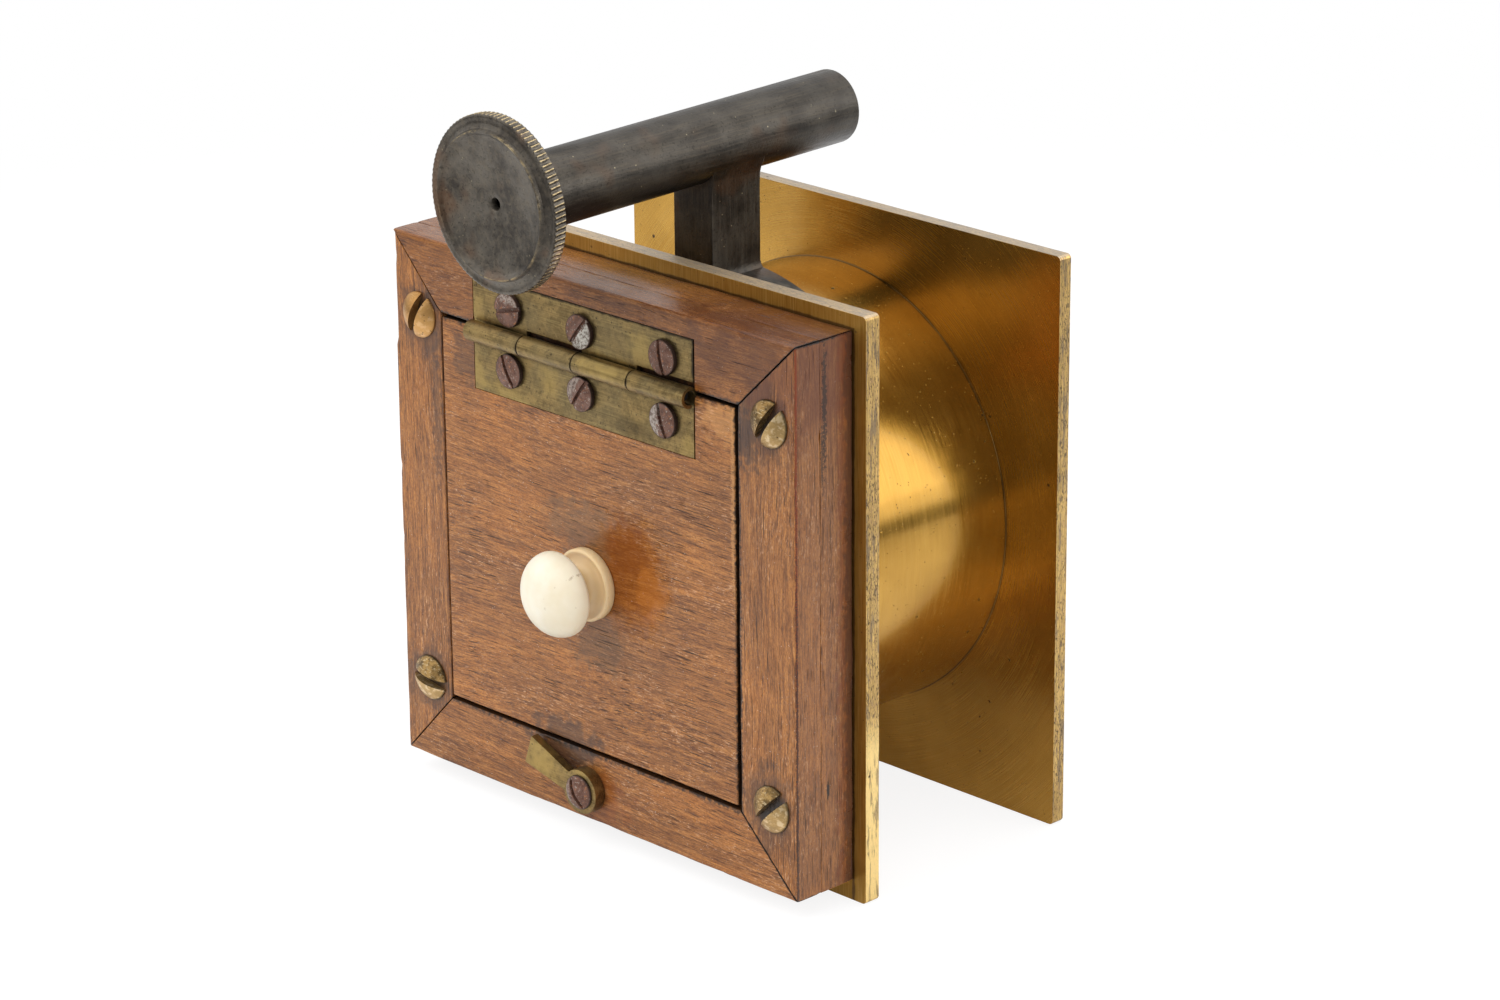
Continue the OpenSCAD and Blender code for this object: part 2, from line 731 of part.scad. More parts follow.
// Cemented doublet: a crown that bulges both ways and a flint that fits its front
function bulge(r) = sqrt(pow(glass_curve_r, 2) - pow(r, 2)) - glass_curve_r;
function glass_radii(n) = [for (i = [0 : n]) (barrel_bore_r - running_gap) * i / n];
module lens_crown() {
    radii = glass_radii(glass_steps);
    color(optical_glass) on_lens_axis(crown_back) rotate_extrude() polygon(concat(
        [for (r = radii) [r, -bulge(r)]],
        [for (i = [glass_steps : -1 : 0]) [radii[i], crown_t + bulge(radii[i])]]
    ));
}
module lens_flint() {
    radii = glass_radii(glass_steps);
    color(optical_glass) on_lens_axis(crown_back) rotate_extrude() polygon(concat(
        [for (r = radii) [r, crown_t + bulge(r)]],
        [[radii[glass_steps], flint_front() - crown_back], [0, flint_front() - crown_back]]
    ));
}
module lens_retaining_ring() {
    color(lacquered_brass) on_lens_axis(front_plate_front - barrel_tail + ring_inset) difference() {
        cylinder(r = barrel_bore_r - running_gap, h = retaining_ring_t);
        translate([0, 0, -1]) cylinder(r = ledge_bore_r - 0.3, h = retaining_ring_t + 2);
    }
}
module aperture_stop() {
    color(blackened_brass) on_lens_axis(front_plate_front + stop_seat) difference() {
        cylinder(r = barrel_bore_r - running_gap, h = stop_t);
        translate([0, 0, -1]) cylinder(r = stop_r, h = stop_t + 2);
    }
}

// Hood that screws into the barrel and holds the stop
module lens_hood() {
    spigot = barrel_l - stop_seat - stop_t;
    color(lacquered_brass) on_lens_axis(front_plate_front + barrel_l) rotate_extrude() polygon([
        [hood_bore_r, -spigot], [barrel_bore_r - running_gap, -spigot], [barrel_bore_r - running_gap, 0],
        [hood_r, 0], [hood_r, hood_l - 0.4], [hood_r - 0.4, hood_l], [hood_bore_r + 1.6, hood_l]
    ]);
}

// Push-on cap with a velvet lining
module lens_cap() {
    inner = hood_r + cap_gap + lining_t;
    outer = inner + cap_wall;
    whole = cap_skirt_l + cap_end_t;
    color(lacquered_brass) on_lens_axis(hood_end + cap_gap - cap_skirt_l) rotate_extrude() polygon([
        [inner, 0], [outer + cap_bead, 0], [outer + cap_bead, 1.4], [outer, 1.7],
        [outer, whole - cap_edge], [outer - cap_edge, whole], [0, whole],
        [0, cap_skirt_l], [inner, cap_skirt_l]
    ]);
}
module cap_lining() {
    inner = hood_r + cap_gap;
    color(dark_velvet) on_lens_axis(hood_end + cap_gap - cap_skirt_l + 0.3) difference() {
        cylinder(r = inner + lining_t, h = cap_skirt_l - 0.6);
        translate([0, 0, -1]) cylinder(r = inner, h = cap_skirt_l + 2);
    }
}

front_rail_top();
front_rail_bottom();
front_stile_left();
front_stile_right();
rear_rail_top();
rear_rail_bottom();
rear_stile_left();
rear_stile_right();
door_panel();
hinge_leaf_upper();
hinge_leaf_lower();
hinge_pin();
hinge_screws_upper();
hinge_screws_lower();
door_knob();
knob_screw();
pressure_springs();
spring_screws();
turn_button();
turn_button_screw();
corner_screws();
plate_corners();
glass_plate();
rear_plate();
drum();
front_plate();
finder_saddle();
saddle_screws();
finder_post();
finder_tube();
eyepiece_disc();
lens_flange();
flange_screws();
lens_barrel();
lens_crown();
lens_flint();
lens_retaining_ring();
aperture_stop();
lens_hood();
lens_cap();
cap_lining();
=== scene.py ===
"""Looks of the small wet plate camera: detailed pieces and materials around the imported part."""

import math
from itertools import product

import bmesh
import bpy
from mathutils import Matrix, Vector, noise


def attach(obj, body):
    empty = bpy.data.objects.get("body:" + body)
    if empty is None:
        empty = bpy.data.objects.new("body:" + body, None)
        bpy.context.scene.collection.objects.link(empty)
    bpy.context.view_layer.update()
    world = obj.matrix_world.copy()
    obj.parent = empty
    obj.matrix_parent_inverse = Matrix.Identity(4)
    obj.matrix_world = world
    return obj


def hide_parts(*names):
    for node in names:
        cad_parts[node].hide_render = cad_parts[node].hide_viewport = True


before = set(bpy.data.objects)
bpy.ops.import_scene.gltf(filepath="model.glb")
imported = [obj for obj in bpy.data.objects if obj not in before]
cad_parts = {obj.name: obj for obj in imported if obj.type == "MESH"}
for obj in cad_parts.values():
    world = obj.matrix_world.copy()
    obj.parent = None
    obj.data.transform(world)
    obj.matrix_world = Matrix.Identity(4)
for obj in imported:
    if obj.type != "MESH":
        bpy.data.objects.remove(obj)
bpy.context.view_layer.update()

MM = 0.001

# Planes, boxes and sizes of the part, in millimetres; boxes are x0, z0, x1, z1
WOOD_FACE = -14.1
LAYER_SEAM = -8.7
WOOD_BACK = -1.5
BACK_OUTLINE = (-46.25, 3.5, 46.25, 95.0)
DOORWAY = (-34.85, 15.55, 33.75, 82.95)
POCKET = (-30.25, 18.5, 30.25, 79.0)
DOOR = (-34.55, 16.15, 33.05, 82.45)
DOOR_BACK = -9.0
AXIS_Z = 48.75
DRUM_R = 38.05
DRUM_WALL = 2.0
PLATE_HALF_W = 49.0
PLATE_H = 97.5
REAR_PLATE = (-1.5, 1.5)
FRONT_PLATE = (42.7, 45.3)
OPENING_HALF = 25.5
LENS_HOLE_R = 12.2
HINGE_X0 = -26.75
HINGE_L = 50.9
PIN_Y, PIN_Z = -14.85, 82.1
PIN_R = 0.8
KNUCKLE_R, KNUCKLE_BORE_R = 1.75, 1.15
LEAF_T = 1.0
LEAF_CUT = 0.55
UPPER_REACH, LOWER_REACH = 9.3, 10.1
LEAF_SCREW_X = (-18.0, -1.2, 17.7)
LEAF_HEAD_R = 2.9
CORNER_HEAD_R = 3.9
KNOB_X, KNOB_Z = -0.4, 45.05
BUTTON_X, BUTTON_Z, BUTTON_T = -1.45, 9.05, 2.2
POST_Y = 14.95
SIGHT_Z = 112.9
SIGHT_TILT = math.radians(1.0)
SIGHT_BACK = 45.65
SIGHT_L = 72.3
SIGHT_R = 6.1
DISC_R = 14.3
KNURLS, KNURL_DEPTH = 98, 0.42

BOX_FACES = [(0, 1, 3, 2), (4, 6, 7, 5), (0, 4, 5, 1), (2, 3, 7, 6), (0, 2, 6, 4), (1, 5, 7, 3)]

BLACK = (0.008, 0.006, 0.005)
# Painted shade in the corners where pieces meet the brass plates
CORNER_SHADE = (0.075, 0.038, 0.012)
# Dark stain colour, also painted shade along the door's left gap
DARK_STAIN_AND_SHADE = (0.038, 0.024, 0.020)
RED_STAIN = (0.22, 0.050, 0.010)
RED_EDGE = (0.20, 0.035, 0.010)
# Pale wear, also a painted highlight along the door's right edge
PALE_WEAR_AND_HIGHLIGHT = (0.56, 0.27, 0.085)


# Meshes

def cos_sin(degrees):
    a = math.radians(degrees)
    return math.cos(a), math.sin(a)


def link(name, data):
    """A new object in the scene."""
    obj = bpy.data.objects.new(name, data)
    bpy.context.scene.collection.objects.link(obj)
    return obj


def new_object(name, verts, faces):
    """A mesh object from millimetre points."""
    mesh = bpy.data.meshes.new(name)
    mesh.from_pydata([Vector(v) * MM for v in verts], [], faces)
    mesh.validate()
    bm = bmesh.new()
    bm.from_mesh(mesh)
    bmesh.ops.remove_doubles(bm, verts=bm.verts, dist=1e-7)
    bmesh.ops.recalc_face_normals(bm, faces=bm.faces)
    bm.to_mesh(mesh)
    bm.free()
    return link(name, mesh)


def soften(obj, width, angle):
    """Bevels every edge sharper than an angle; the width is in millimetres."""
    bm = bmesh.new()
    bm.from_mesh(obj.data)
    limit = math.radians(angle)
    edges = [e for e in bm.edges if len(e.link_faces) == 2 and e.calc_face_angle(0) > limit]
    bmesh.ops.bevel(
        bm, geom=edges, offset=width * MM, segments=2, profile=0.6, affect="EDGES", clamp_overlap=True
    )
    bm.to_mesh(obj.data)
    bm.free()


def carve(obj, *cutters):
    """Cuts other objects out of obj and removes them."""
    for cutter in cutters:
        mod = obj.modifiers.new("cut", "BOOLEAN")
        mod.operation = "DIFFERENCE"
        mod.solver = "EXACT"
        mod.object = cutter
    evaluated = obj.evaluated_get(bpy.context.evaluated_depsgraph_get())
    mesh = bpy.data.meshes.new_from_object(evaluated)
    obj.modifiers.clear()
    obj.data = mesh
    for cutter in cutters:
        bpy.data.objects.remove(cutter)


def join(name, objects):
    """One object from several."""
    bm = bmesh.new()
    for o in objects:
        o.data.transform(o.matrix_world)
        bm.from_mesh(o.data)
        bpy.data.objects.remove(o)
    mesh = bpy.data.meshes.new(name)
    bm.to_mesh(mesh)
    bm.free()
    return link(name, mesh)


def dress(obj, material, body, slot, node, sharp=32, weighted=True):
    """Shades obj, gives it its material and puts it on its body in place of the CAD node."""
    obj.data.shade_smooth()
    obj.data.set_sharp_from_angle(angle=math.radians(sharp))
    if weighted:
        obj.modifiers.new("normals", "WEIGHTED_NORMAL").keep_sharp = True
    obj.data.materials.clear()
    for m in material if isinstance(material, list) else [material]:
        obj.data.materials.append(m)
    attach(obj, body)
    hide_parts(node)


def box(name, low, high):
    return new_object(name, product(*zip(low, high)), BOX_FACES)


def band(a, b):
    """Faces between two rings with as many points."""
    n = len(a)
    return [(a[k], a[(k + 1) % n], b[(k + 1) % n], b[k]) for k in range(n)]


def skin(name, rows, way=1):
    """A closed object from rings of points; with way -1 its two ends are listed the other way round."""
    n = len(rows[0])
    rings = [list(range(i * n, (i + 1) * n)) for i in range(len(rows))]
    faces = [tuple(rings[0][::way]), tuple(rings[-1][::-way])]
    for a, b in zip(rings, rings[1:]):
        faces += band(a, b)
    return new_object(name, sum(rows, []), faces)


def lathe(name, profile, steps, place, radius_at=None):
    """Turns a closed profile of (radius, height) points about an axis; place maps local to world points."""
    verts, faces, rings = [], [], []
    for i, (r, z) in enumerate(profile):
        first = len(verts)
        if r < 1e-6:
            verts.append(place(Vector((0, 0, z))))
        else:
            for k in range(steps):
                a = 2 * math.pi * k / steps
                rr = radius_at(i, a, r, z) if radius_at else r
                verts.append(place(Vector((rr * math.cos(a), rr * math.sin(a), z))))
        rings.append(range(first, len(verts)))
    for a, b in zip(rings, rings[1:] + rings[:1]):
        if len(a) > 1 and len(b) > 1:
            faces += band(a, b)
        elif len(b) > 1:
            faces += [(a[0], b[(k + 1) % steps], b[k]) for k in range(steps)]
        elif len(a) > 1:
            faces += [(a[k], a[(k + 1) % steps], b[0]) for k in range(steps)]
    return new_object(name, verts, faces)


def facing_user(x, y, z):
    """Local Z comes out towards the user, local X is the user's right and local Y is up."""
    return lambda p: Vector((x + p.x, y - p.z, z + p.y))


def along_hinge(x):
    """Local Z runs along the hinge pin."""
    return lambda p: Vector((x + p.z, PIN_Y + p.x, PIN_Z + p.y))


def on_lens_axis(y):
    """Local Z runs along the lens axis towards the subject."""
    return lambda p: Vector((p.x, y + p.z, AXIS_Z - p.y))


def on_sight(back):
    """Local Z runs along the sight towards the user, from the post's middle plus back."""
    turn = Matrix.Rotation(math.radians(90) + SIGHT_TILT, 3, "X")
    origin = Vector((0, POST_Y, SIGHT_Z))
    return lambda p: origin + turn @ (p + Vector((0, 0, back)))


def arc(cx, cy, r, a0, a1, n):
    """Points on a circle from one angle to another, in degrees."""
    turns = [cos_sin(a0 + (a1 - a0) * i / n) for i in range(n + 1)]
    return [(cx + r * c, cy + r * s) for c, s in turns]


# Timber

WEAR_PITCH = 1.4
END_BEVEL = 0.14
CORNER_STEPS = 3
CORNER_MARGIN = 0.9


def timber_section(width, depth, radii):
    """Section of a board as (u, v, du, dv): a point and the way in which wear moves it."""
    m = CORNER_MARGIN
    corners = [(0, 0, 180, m, 0), (width, 0, 270, 0, m), (width, depth, 0, -m, 0), (0, depth, 90, 0, -m)]
    points = []
    for (cu, cv, start, du, dv), r in zip(corners, radii):
        mu = cu + r if cu == 0 else cu - r
        mv = cv + r if cv == 0 else cv - r
        edge = [(u, v, mu - u, mv - v) for u, v in arc(mu, mv, r, start, start + 90, CORNER_STEPS)]
        first, last = edge[0], edge[-1]
        points += [(first[0] - dv, first[1] + du, 0, 0), *edge, (last[0] + du, last[1] + dv, 0, 0)]
    return points


def timber(name, width, depth, ends, place, seed, radii, gap, wear=0.1, extra=None):
    """A board with slightly worn edges. ends(u) gives where it starts and stops at the width u, and
    place(length, u, v) gives the world point."""
    section = timber_section(width, depth, radii)
    first, last = ends(0)
    count = max(6, int((last - first) / WEAR_PITCH))

    def end(point, far):
        u = min(max(point[0], END_BEVEL), width - END_BEVEL)
        v = min(max(point[1], END_BEVEL), depth - END_BEVEL)
        a, b = ends(u)
        return b - gap if far else a + gap, u, v

    def along(point, t):
        u, v, du, dv = point
        a, b = ends(u)
        at = a + gap + END_BEVEL + (b - a - 2 * (gap + END_BEVEL)) * t
        size = math.hypot(du, dv)
        if size > 0:
            edge = (u > width / 2) * 3.7 + (v > depth / 2) * 9.1
            n = noise.noise(Vector((at * 0.16, seed * 5.3, edge)))
            chip = max(0.0, noise.noise(Vector((at * 0.75, seed * 2.9, u + 2.3 * v))) - 0.38)
            move = wear * (0.5 + n) + 0.9 * wear * chip * 4
            u, v = u + du / size * move, v + dv / size * move
        if extra:
            u, v = extra(at, u, v)
        return at, u, v

    rows = [[end(point, False) for point in section]]
    rows += [[along(point, i / count) for point in section] for i in range(count + 1)]
    rows += [[end(point, True) for point in section]]
    return skin(name, [[place(*point) for point in row] for row in rows])


def mitred(name, side, inner, y0, y1, seed, radii, extra):
    """One member of the back's mitred frame, for side bottom, right, top or left."""
    ox0, oz0, ox1, oz1 = BACK_OUTLINE
    ix0, iz0, ix1, iz1 = inner
    level = side in ("bottom", "top")
    width = {"bottom": iz0 - oz0, "top": oz1 - iz1, "left": ix0 - ox0, "right": ox1 - ix1}[side]
    a = (ox0, ix0) if level else (oz0, iz0)
    b = (ox1, ix1) if level else (oz1, iz1)

    def ends(u):
        t = u / width
        return a[0] + (a[1] - a[0]) * t, b[0] + (b[1] - b[0]) * t

    def place(at, u, v):
        if level:
            return Vector((at, y0 + v, oz0 + u if side == "bottom" else oz1 - u))
        return Vector((ox0 + u if side == "left" else ox1 - u, y0 + v, at))

    return timber(name, width, y1 - y0, ends, place, seed, radii, 0.08, extra=extra)


# Materials

class Nodes:
    """Short forms for the nodes of one tree."""

    def __init__(self, tree):
        self.tree = tree

    def put(self, socket, value):
        if isinstance(value, bpy.types.NodeSocket):
            self.tree.links.new(value, socket)
        elif value is not None:
            if socket.type == "RGBA" and len(value) == 3:
                value = (*value, 1.0)
            socket.default_value = value

    def node(self, kind, *values, **settings):
        """A node with its settings, and its first inputs in order."""
        n = self.tree.nodes.new("ShaderNode" + kind)
        for key, value in settings.items():
            setattr(n, key, value)
        for socket, value in zip(n.inputs, values):
            self.put(socket, value)
        return n

    def vec(self, operation, a, b=None):
        n = self.node("VectorMath", a, b, operation=operation)
        return n.outputs["Value" if operation in ("LENGTH", "DOT_PRODUCT") else "Vector"]

    def math(self, operation, a, b=None, clamp=False):
        return self.node("Math", a, b, operation=operation, use_clamp=clamp).outputs[0]

    def add(self, a, b):
        return self.math("ADD", a, b)

    def less(self, a, b):
        return self.math("SUBTRACT", a, b)

    def size(self, a):
        return self.math("ABSOLUTE", a)

    def times(self, out, *values):
        for value in values:
            out = self.math("MULTIPLY", out, value)
        return out

    def most(self, out, *values):
        for value in values:
            out = self.math("MAXIMUM", out, value)
        return out

    def step(self, value, low, high, out0=0.0, out1=1.0, kind="SMOOTHSTEP"):
        return self.node("MapRange", value, low, high, out0, out1, interpolation_type=kind).outputs[0]

    def line(self, *values):
        return self.step(*values, kind="LINEAR")

    def spread(self, noise, *ends):
        """The middle of a noise's range, stretched from one end to the other."""
        return self.line(noise, 0.3, 0.7, *ends)

    def axis(self, vector, letter):
        return self.node("SeparateXYZ", vector).outputs["XYZ".index(letter)]

    def coordinates(self, kind):
        return self.node("TexCoord").outputs[kind]

    def ray(self, kind):
        return self.node("LightPath").outputs[f"Is {kind} Ray"]

    def seen_ray(self):
        """1 for camera, glossy and transmission rays."""
        return self.most(self.ray("Camera"), self.ray("Glossy"), self.ray("Transmission"))

    def diagonals(self, vector):
        """How far towards the photograph's camera, and how far to the right as seen from there."""
        x, y = self.times(self.axis(vector, "X"), 0.71), self.times(self.axis(vector, "Y"), 0.70)
        return self.less(x, y), self.add(x, y)


class Shader(Nodes):
    """Node material whose pattern is fixed to the object, in millimetres of the row frame."""

    def __init__(self, name, along="X"):
        self.material = bpy.data.materials.new(name)
        self.material.use_nodes = True
        super().__init__(self.material.node_tree)
        self.tree.nodes.clear()
        self.bsdf = self.node("BsdfPrincipled")
        self.node("OutputMaterial", self.bsdf.outputs[0])
        scaled = self.node("VectorMath", self.coordinates("Object"), operation="SCALE")
        scaled.inputs["Scale"].default_value = 1 / MM
        self.mm = scaled.outputs["Vector"]
        self.along = along
        self.normal = None

    def set(self, **values):
        """Sets the shader's own inputs, with spaces written as underscores."""
        for key, value in values.items():
            self.put(self.bsdf.inputs[key.replace("_", " ")], value)

    def invert(self, a):
        return self.math("SUBTRACT", 1.0, a, clamp=True)

    def shifted(self, vector, *by):
        return self.vec("ADD", vector, by)

    def noise(self, vector, scale=1.0, detail=2.0, rough=0.5):
        return self.node("TexNoise", vector, None, scale, detail, rough).outputs[0]

    def stretched(self, vector, factors, detail=2.0, rough=0.5, scale=1.0):
        """Noise of a vector whose axes are multiplied by the factors."""
        return self.noise(self.vec("MULTIPLY", vector, factors), scale, detail, rough)

    def unit(self, length, width):
        """Factors with which one unit is length along the grain and width across it."""
        return tuple(1.0 / length if letter == self.along else 1.0 / width for letter in "XYZ")

    def grain(self, vector, length, width, detail=2.0, rough=0.5):
        """Noise stretched along the grain."""
        return self.stretched(vector, self.unit(length, width), detail, rough)

    def ragged(self, vector, scale, reach, detail=3.0, rough=0.5):
        """Noise from -reach to reach, for the outline of a stain."""
        return self.spread(self.noise(vector, scale, detail, rough), -reach, reach)

    def dashes(self, vector, length, width, keep, fill):
        """Short marks along the grain; keep is the share of the places that hold one."""
        n = self.node("TexVoronoi", self.vec("MULTIPLY", vector, self.unit(length, width)), None, 1.0)
        chosen = self.step(self.less(keep, self.axis(n.outputs["Color"], "X")), -0.04, 0.04)
        return self.times(chosen, self.step(n.outputs["Distance"], fill, fill * 0.55))

    def speckle(self, vector, size, share, seed=0.0):
        """Small round spots over a share of the surface."""
        moved = self.shifted(vector, seed, seed * 1.7, seed * 0.6)
        field = self.node("TexVoronoi", moved, None, 1.0 / size).outputs["Distance"]
        rare = self.noise(moved, 0.7 / size, 0.0)
        return self.times(self.step(field, 0.22, 0.10), self.step(rare, share, share - 0.03))

    def mix(self, amount, a, b):
        n = self.node("Mix", amount, data_type="RGBA")
        self.put(n.inputs[6], a)
        self.put(n.inputs[7], b)
        return n.outputs[2]

    def coats(self, colour, *coats):
        """A colour under several coats of (amount, tint) or (pattern, tint, amount)."""
        for amount, tint, *share in coats:
            colour = self.mix(self.times(amount, *share), colour, tint)
        return colour

    def bump(self, height, depth, strength=1.0):
        """Adds a height pattern; the depth is in millimetres."""
        n = self.node("Bump")
        for name, value in (("Strength", strength), ("Distance", depth * MM), ("Height", height),
                            ("Normal", self.normal)):
            self.put(n.inputs[name], value)
        self.normal = n.outputs[0]
        self.set(Normal=self.normal)

    def near(self, vector, centre, squash):
        """Distance to a place, in millimetres; squash above 1 narrows the shape on that axis."""
        off = self.vec("SUBTRACT", vector, centre)
        return self.vec("LENGTH", self.vec("MULTIPLY", off, squash))

    def blot(self, vector, place, radius, squash, ragged):
        """Distance to a place in radii, with a ragged outline."""
        return self.add(self.math("DIVIDE", self.near(vector, place, squash), radius), ragged)

    def join(self, x, y, z):
        return self.node("CombineXYZ", x, y, z).outputs[0]

    def face(self, letter):
        """How far the surface looks along an axis, from 0 to 1, in the object's own frame."""
        return self.size(self.axis(self.coordinates("Normal"), letter))

    def hypot(self, a, b):
        return self.math("SQRT", self.add(self.times(a, a), self.times(b, b)))

    def from_head(self, middle, angle):
        """Distance from a screw head's middle on the wood's face, and how far out at an angle."""
        c, d = cos_sin(angle)
        side = self.vec("DOT_PRODUCT", self.vec("SUBTRACT", self.mm, middle), (c, 0.0, d))
        return self.near(self.mm, middle, (1, 0, 1)), side


def wood(name, along, seed, stains_and_shade, tone, pore_zones=(), seams=(), dull=(), turned=()):
    """Oiled and varnished walnut with open pores. stains_and_shade are (place, radius, squash, colour,
    amount, ragged): staining, and painted shade in the gaps and round the fittings; pore_zones are (place,
    radius, squash) where the pores are denser; seams are (place, normal, half width, amount) for the dark
    joints; dull are (place, radius, squash) without sheen; turned are (letter, colour, amount, gloss) for
    the faces that look along an axis, whose tint is painted shade."""
    s = Shader(name, along)
    p = s.shifted(s.mm, seed * 37.7, seed * 23.1, seed * 61.3)
    across = tuple(0.0 if letter == along else 1.0 for letter in "XYZ")
    wander = s.spread(s.grain(p, 80, 28), -1.6, 1.6)
    q = s.vec("ADD", p, s.vec("MULTIPLY", across, s.join(wander, wander, wander)))
    bands = s.step(s.grain(q, 60, 5.5, 3.0, 0.6), 0.39, 0.60)
    clouds = s.step(s.grain(p, 15, 8), 0.36, 0.64)
    streaks = s.step(s.grain(q, 14, 0.75, 3.0, 0.65), 0.36, 0.66)
    lines = s.grain(q, 7.0, 0.30, 3.0, 0.7)
    fibres = s.grain(q, 2.6, 0.14, 2.0, 0.7)
    grit = s.grain(q, 0.5, 0.17, 1.0, 0.7)
    dense = s.line(s.step(s.grain(p, 26, 9, 1.0), 0.40, 0.64), 0.0, 1.0, 0.10, 0.50)
    for place, radius, squash in pore_zones:
        dense = s.add(dense, s.step(s.near(s.mm, place, squash), radius, radius * 0.3, 0.0, 0.40))
    long_pores = s.dashes(q, 16.0, 0.44, dense, 0.24)
    short_pores = s.dashes(q, 5.0, 0.34, dense, 0.27)
    fleck_zone = s.step(s.noise(s.shifted(s.vec("MULTIPLY", p, s.unit(32, 8)), 31, 17, 5)), 0.44, 0.60)
    flecks = s.step(s.grain(s.shifted(q, 3.3, 7.7, 1.1), 1.4, 0.24, 2.0, 0.65), 0.56, 0.70)
    flecks = s.times(flecks, s.line(fleck_zone, 0.0, 1.0, 0.18, 1.0))
    colour = s.coats(
        s.mix(bands, (0.135, 0.037, 0.0052), (0.325, 0.106, 0.0155)),
        (streaks, (0.54, 0.210, 0.044), 0.62),
        (s.invert(clouds), (0.150, 0.056, 0.017), 0.45),
        (s.line(lines, 0.47, 0.62, 0.0, 0.86), (0.090, 0.030, 0.0095)),
        (s.line(lines, 0.46, 0.32, 0.0, 0.48), (0.62, 0.29, 0.082)),
        (s.line(fibres, 0.42, 0.66, 0.0, 0.52), (0.58, 0.25, 0.068)),
        (s.line(grit, 0.56, 0.34, 0.0, 0.50), (0.09, 0.027, 0.007)),
        (flecks, (0.64, 0.36, 0.19), 0.72),
        (short_pores, (0.038, 0.020, 0.014), 0.72),
        (long_pores, (0.026, 0.016, 0.013), 0.85),
        (s.speckle(p, 0.42, 0.33, 8.0), (0.72, 0.62, 0.52), 0.7),
        (tone, (0.07, 0.018, 0.005)),
    )
    rough = s.spread(s.noise(p, 0.2, 3.0), 0.25, 0.36)
    # faces that look along an axis take a tint: painted shade
    for letter, tint, amount, gloss in turned:
        facing = s.step(s.face(letter), 0.6, 0.9)
        colour = s.mix(s.times(facing, amount), colour, tint)
        rough = s.less(rough, s.times(facing, gloss))
    # staining, and painted shade in the gaps and round the fittings
    for place, radius, squash, tint, amount, rag in stains_and_shade:
        distance = s.blot(s.mm, place, radius, squash, s.ragged(p, 1.4 / radius ** 0.7, rag))
        colour = s.mix(s.times(s.step(distance, 1.1, 0.55), amount), colour, tint)
    waver = s.spread(s.noise(p, 0.9), 0.5, 1.6)
    for place, normal, half, amount in seams:
        off = s.size(s.vec("DOT_PRODUCT", s.vec("SUBTRACT", s.mm, place), normal))
        colour = s.mix(s.step(s.math("DIVIDE", off, waver), half, half * 0.4, 0.0, amount), colour, BLACK)
    sheen = 0.40
    for place, radius, squash in dull:
        distance = s.blot(s.mm, place, radius, squash, s.ragged(p, 0.5, 0.25, 2.0))
        sheen = s.times(s.step(distance, 0.5, 1.2, 0.15, 1.0), sheen)
    pits = s.most(long_pores, short_pores)
    s.set(Base_Color=colour, Roughness=s.add(rough, s.times(pits, 0.3)), IOR=1.5)
    s.set(Specular_IOR_Level=sheen)
    s.bump(fibres, 0.035, 0.3)
    s.bump(pits, -0.12, 0.6)
    s.bump(s.noise(p, 0.35, 3.0), 0.12, 0.25)
    return s.material


def filed_edge(s, p):
    """Colour of a plate's filed edge: golden, with grey smears along it, dark dashes and a few pits; paler
    on faces that look up, which is painted sheen, and brighter low on the rear plate's sides, which is
    painted light from the floor.
    """
    smear = s.stretched(p, (0.22, 1.3, 0.16), 3.0, 0.65)
    marks = s.stretched(p, (1.6, 6.0, 1.5), 2.0, 0.6)
    zone = s.line(s.noise(s.shifted(p, 3, 8, 5), 0.08), 0.38, 0.62, 0.0, 0.055)
    spots = s.most(s.speckle(p, 0.8, 0.46, 7.0), s.times(s.speckle(p, 2.4, 0.40, 19.0), 0.8))
    # masks for painted sheen on faces that look up and painted light from the floor low on the rear plate's
    # sides
    upward = s.step(s.face("Z"), 0.5, 0.8)
    bright = s.times(s.step(s.face("X"), 0.5, 0.8), s.step(s.axis(p, "Z"), 33.0, 24.0),
                     s.step(s.axis(p, "Y"), 10.0, 6.0))
    filed = s.line(s.stretched(p, (0.35, 5.0, 0.12), 4.0, 0.7), 0.36, 0.64)
    return s.coats(
        s.mix(filed, (0.30, 0.185, 0.055), (0.74, 0.50, 0.175)),
        (s.step(s.stretched(p, (1.2, 2.6, 0.9), 3.0, 0.7), 0.50, 0.64, 0.0, 0.55), (0.36, 0.215, 0.125)),
        (s.step(smear, 0.53, 0.60, 0.0, 0.72), (0.175, 0.135, 0.095)),
        (s.step(s.add(marks, zone), 0.59, 0.64, 0.0, 0.9), (0.055, 0.036, 0.022)),
        (spots, (0.085, 0.062, 0.045), 0.8),
        # faces that look up are paler: painted sheen
        (upward, (0.58, 0.50, 0.41), 0.5),
        # brighter low on the rear plate's sides: painted light from the floor
        (s.times(bright, s.step(smear, 0.60, 0.50, 0.3, 1.0), 0.75), (1.0, 0.76, 0.32)),
    )


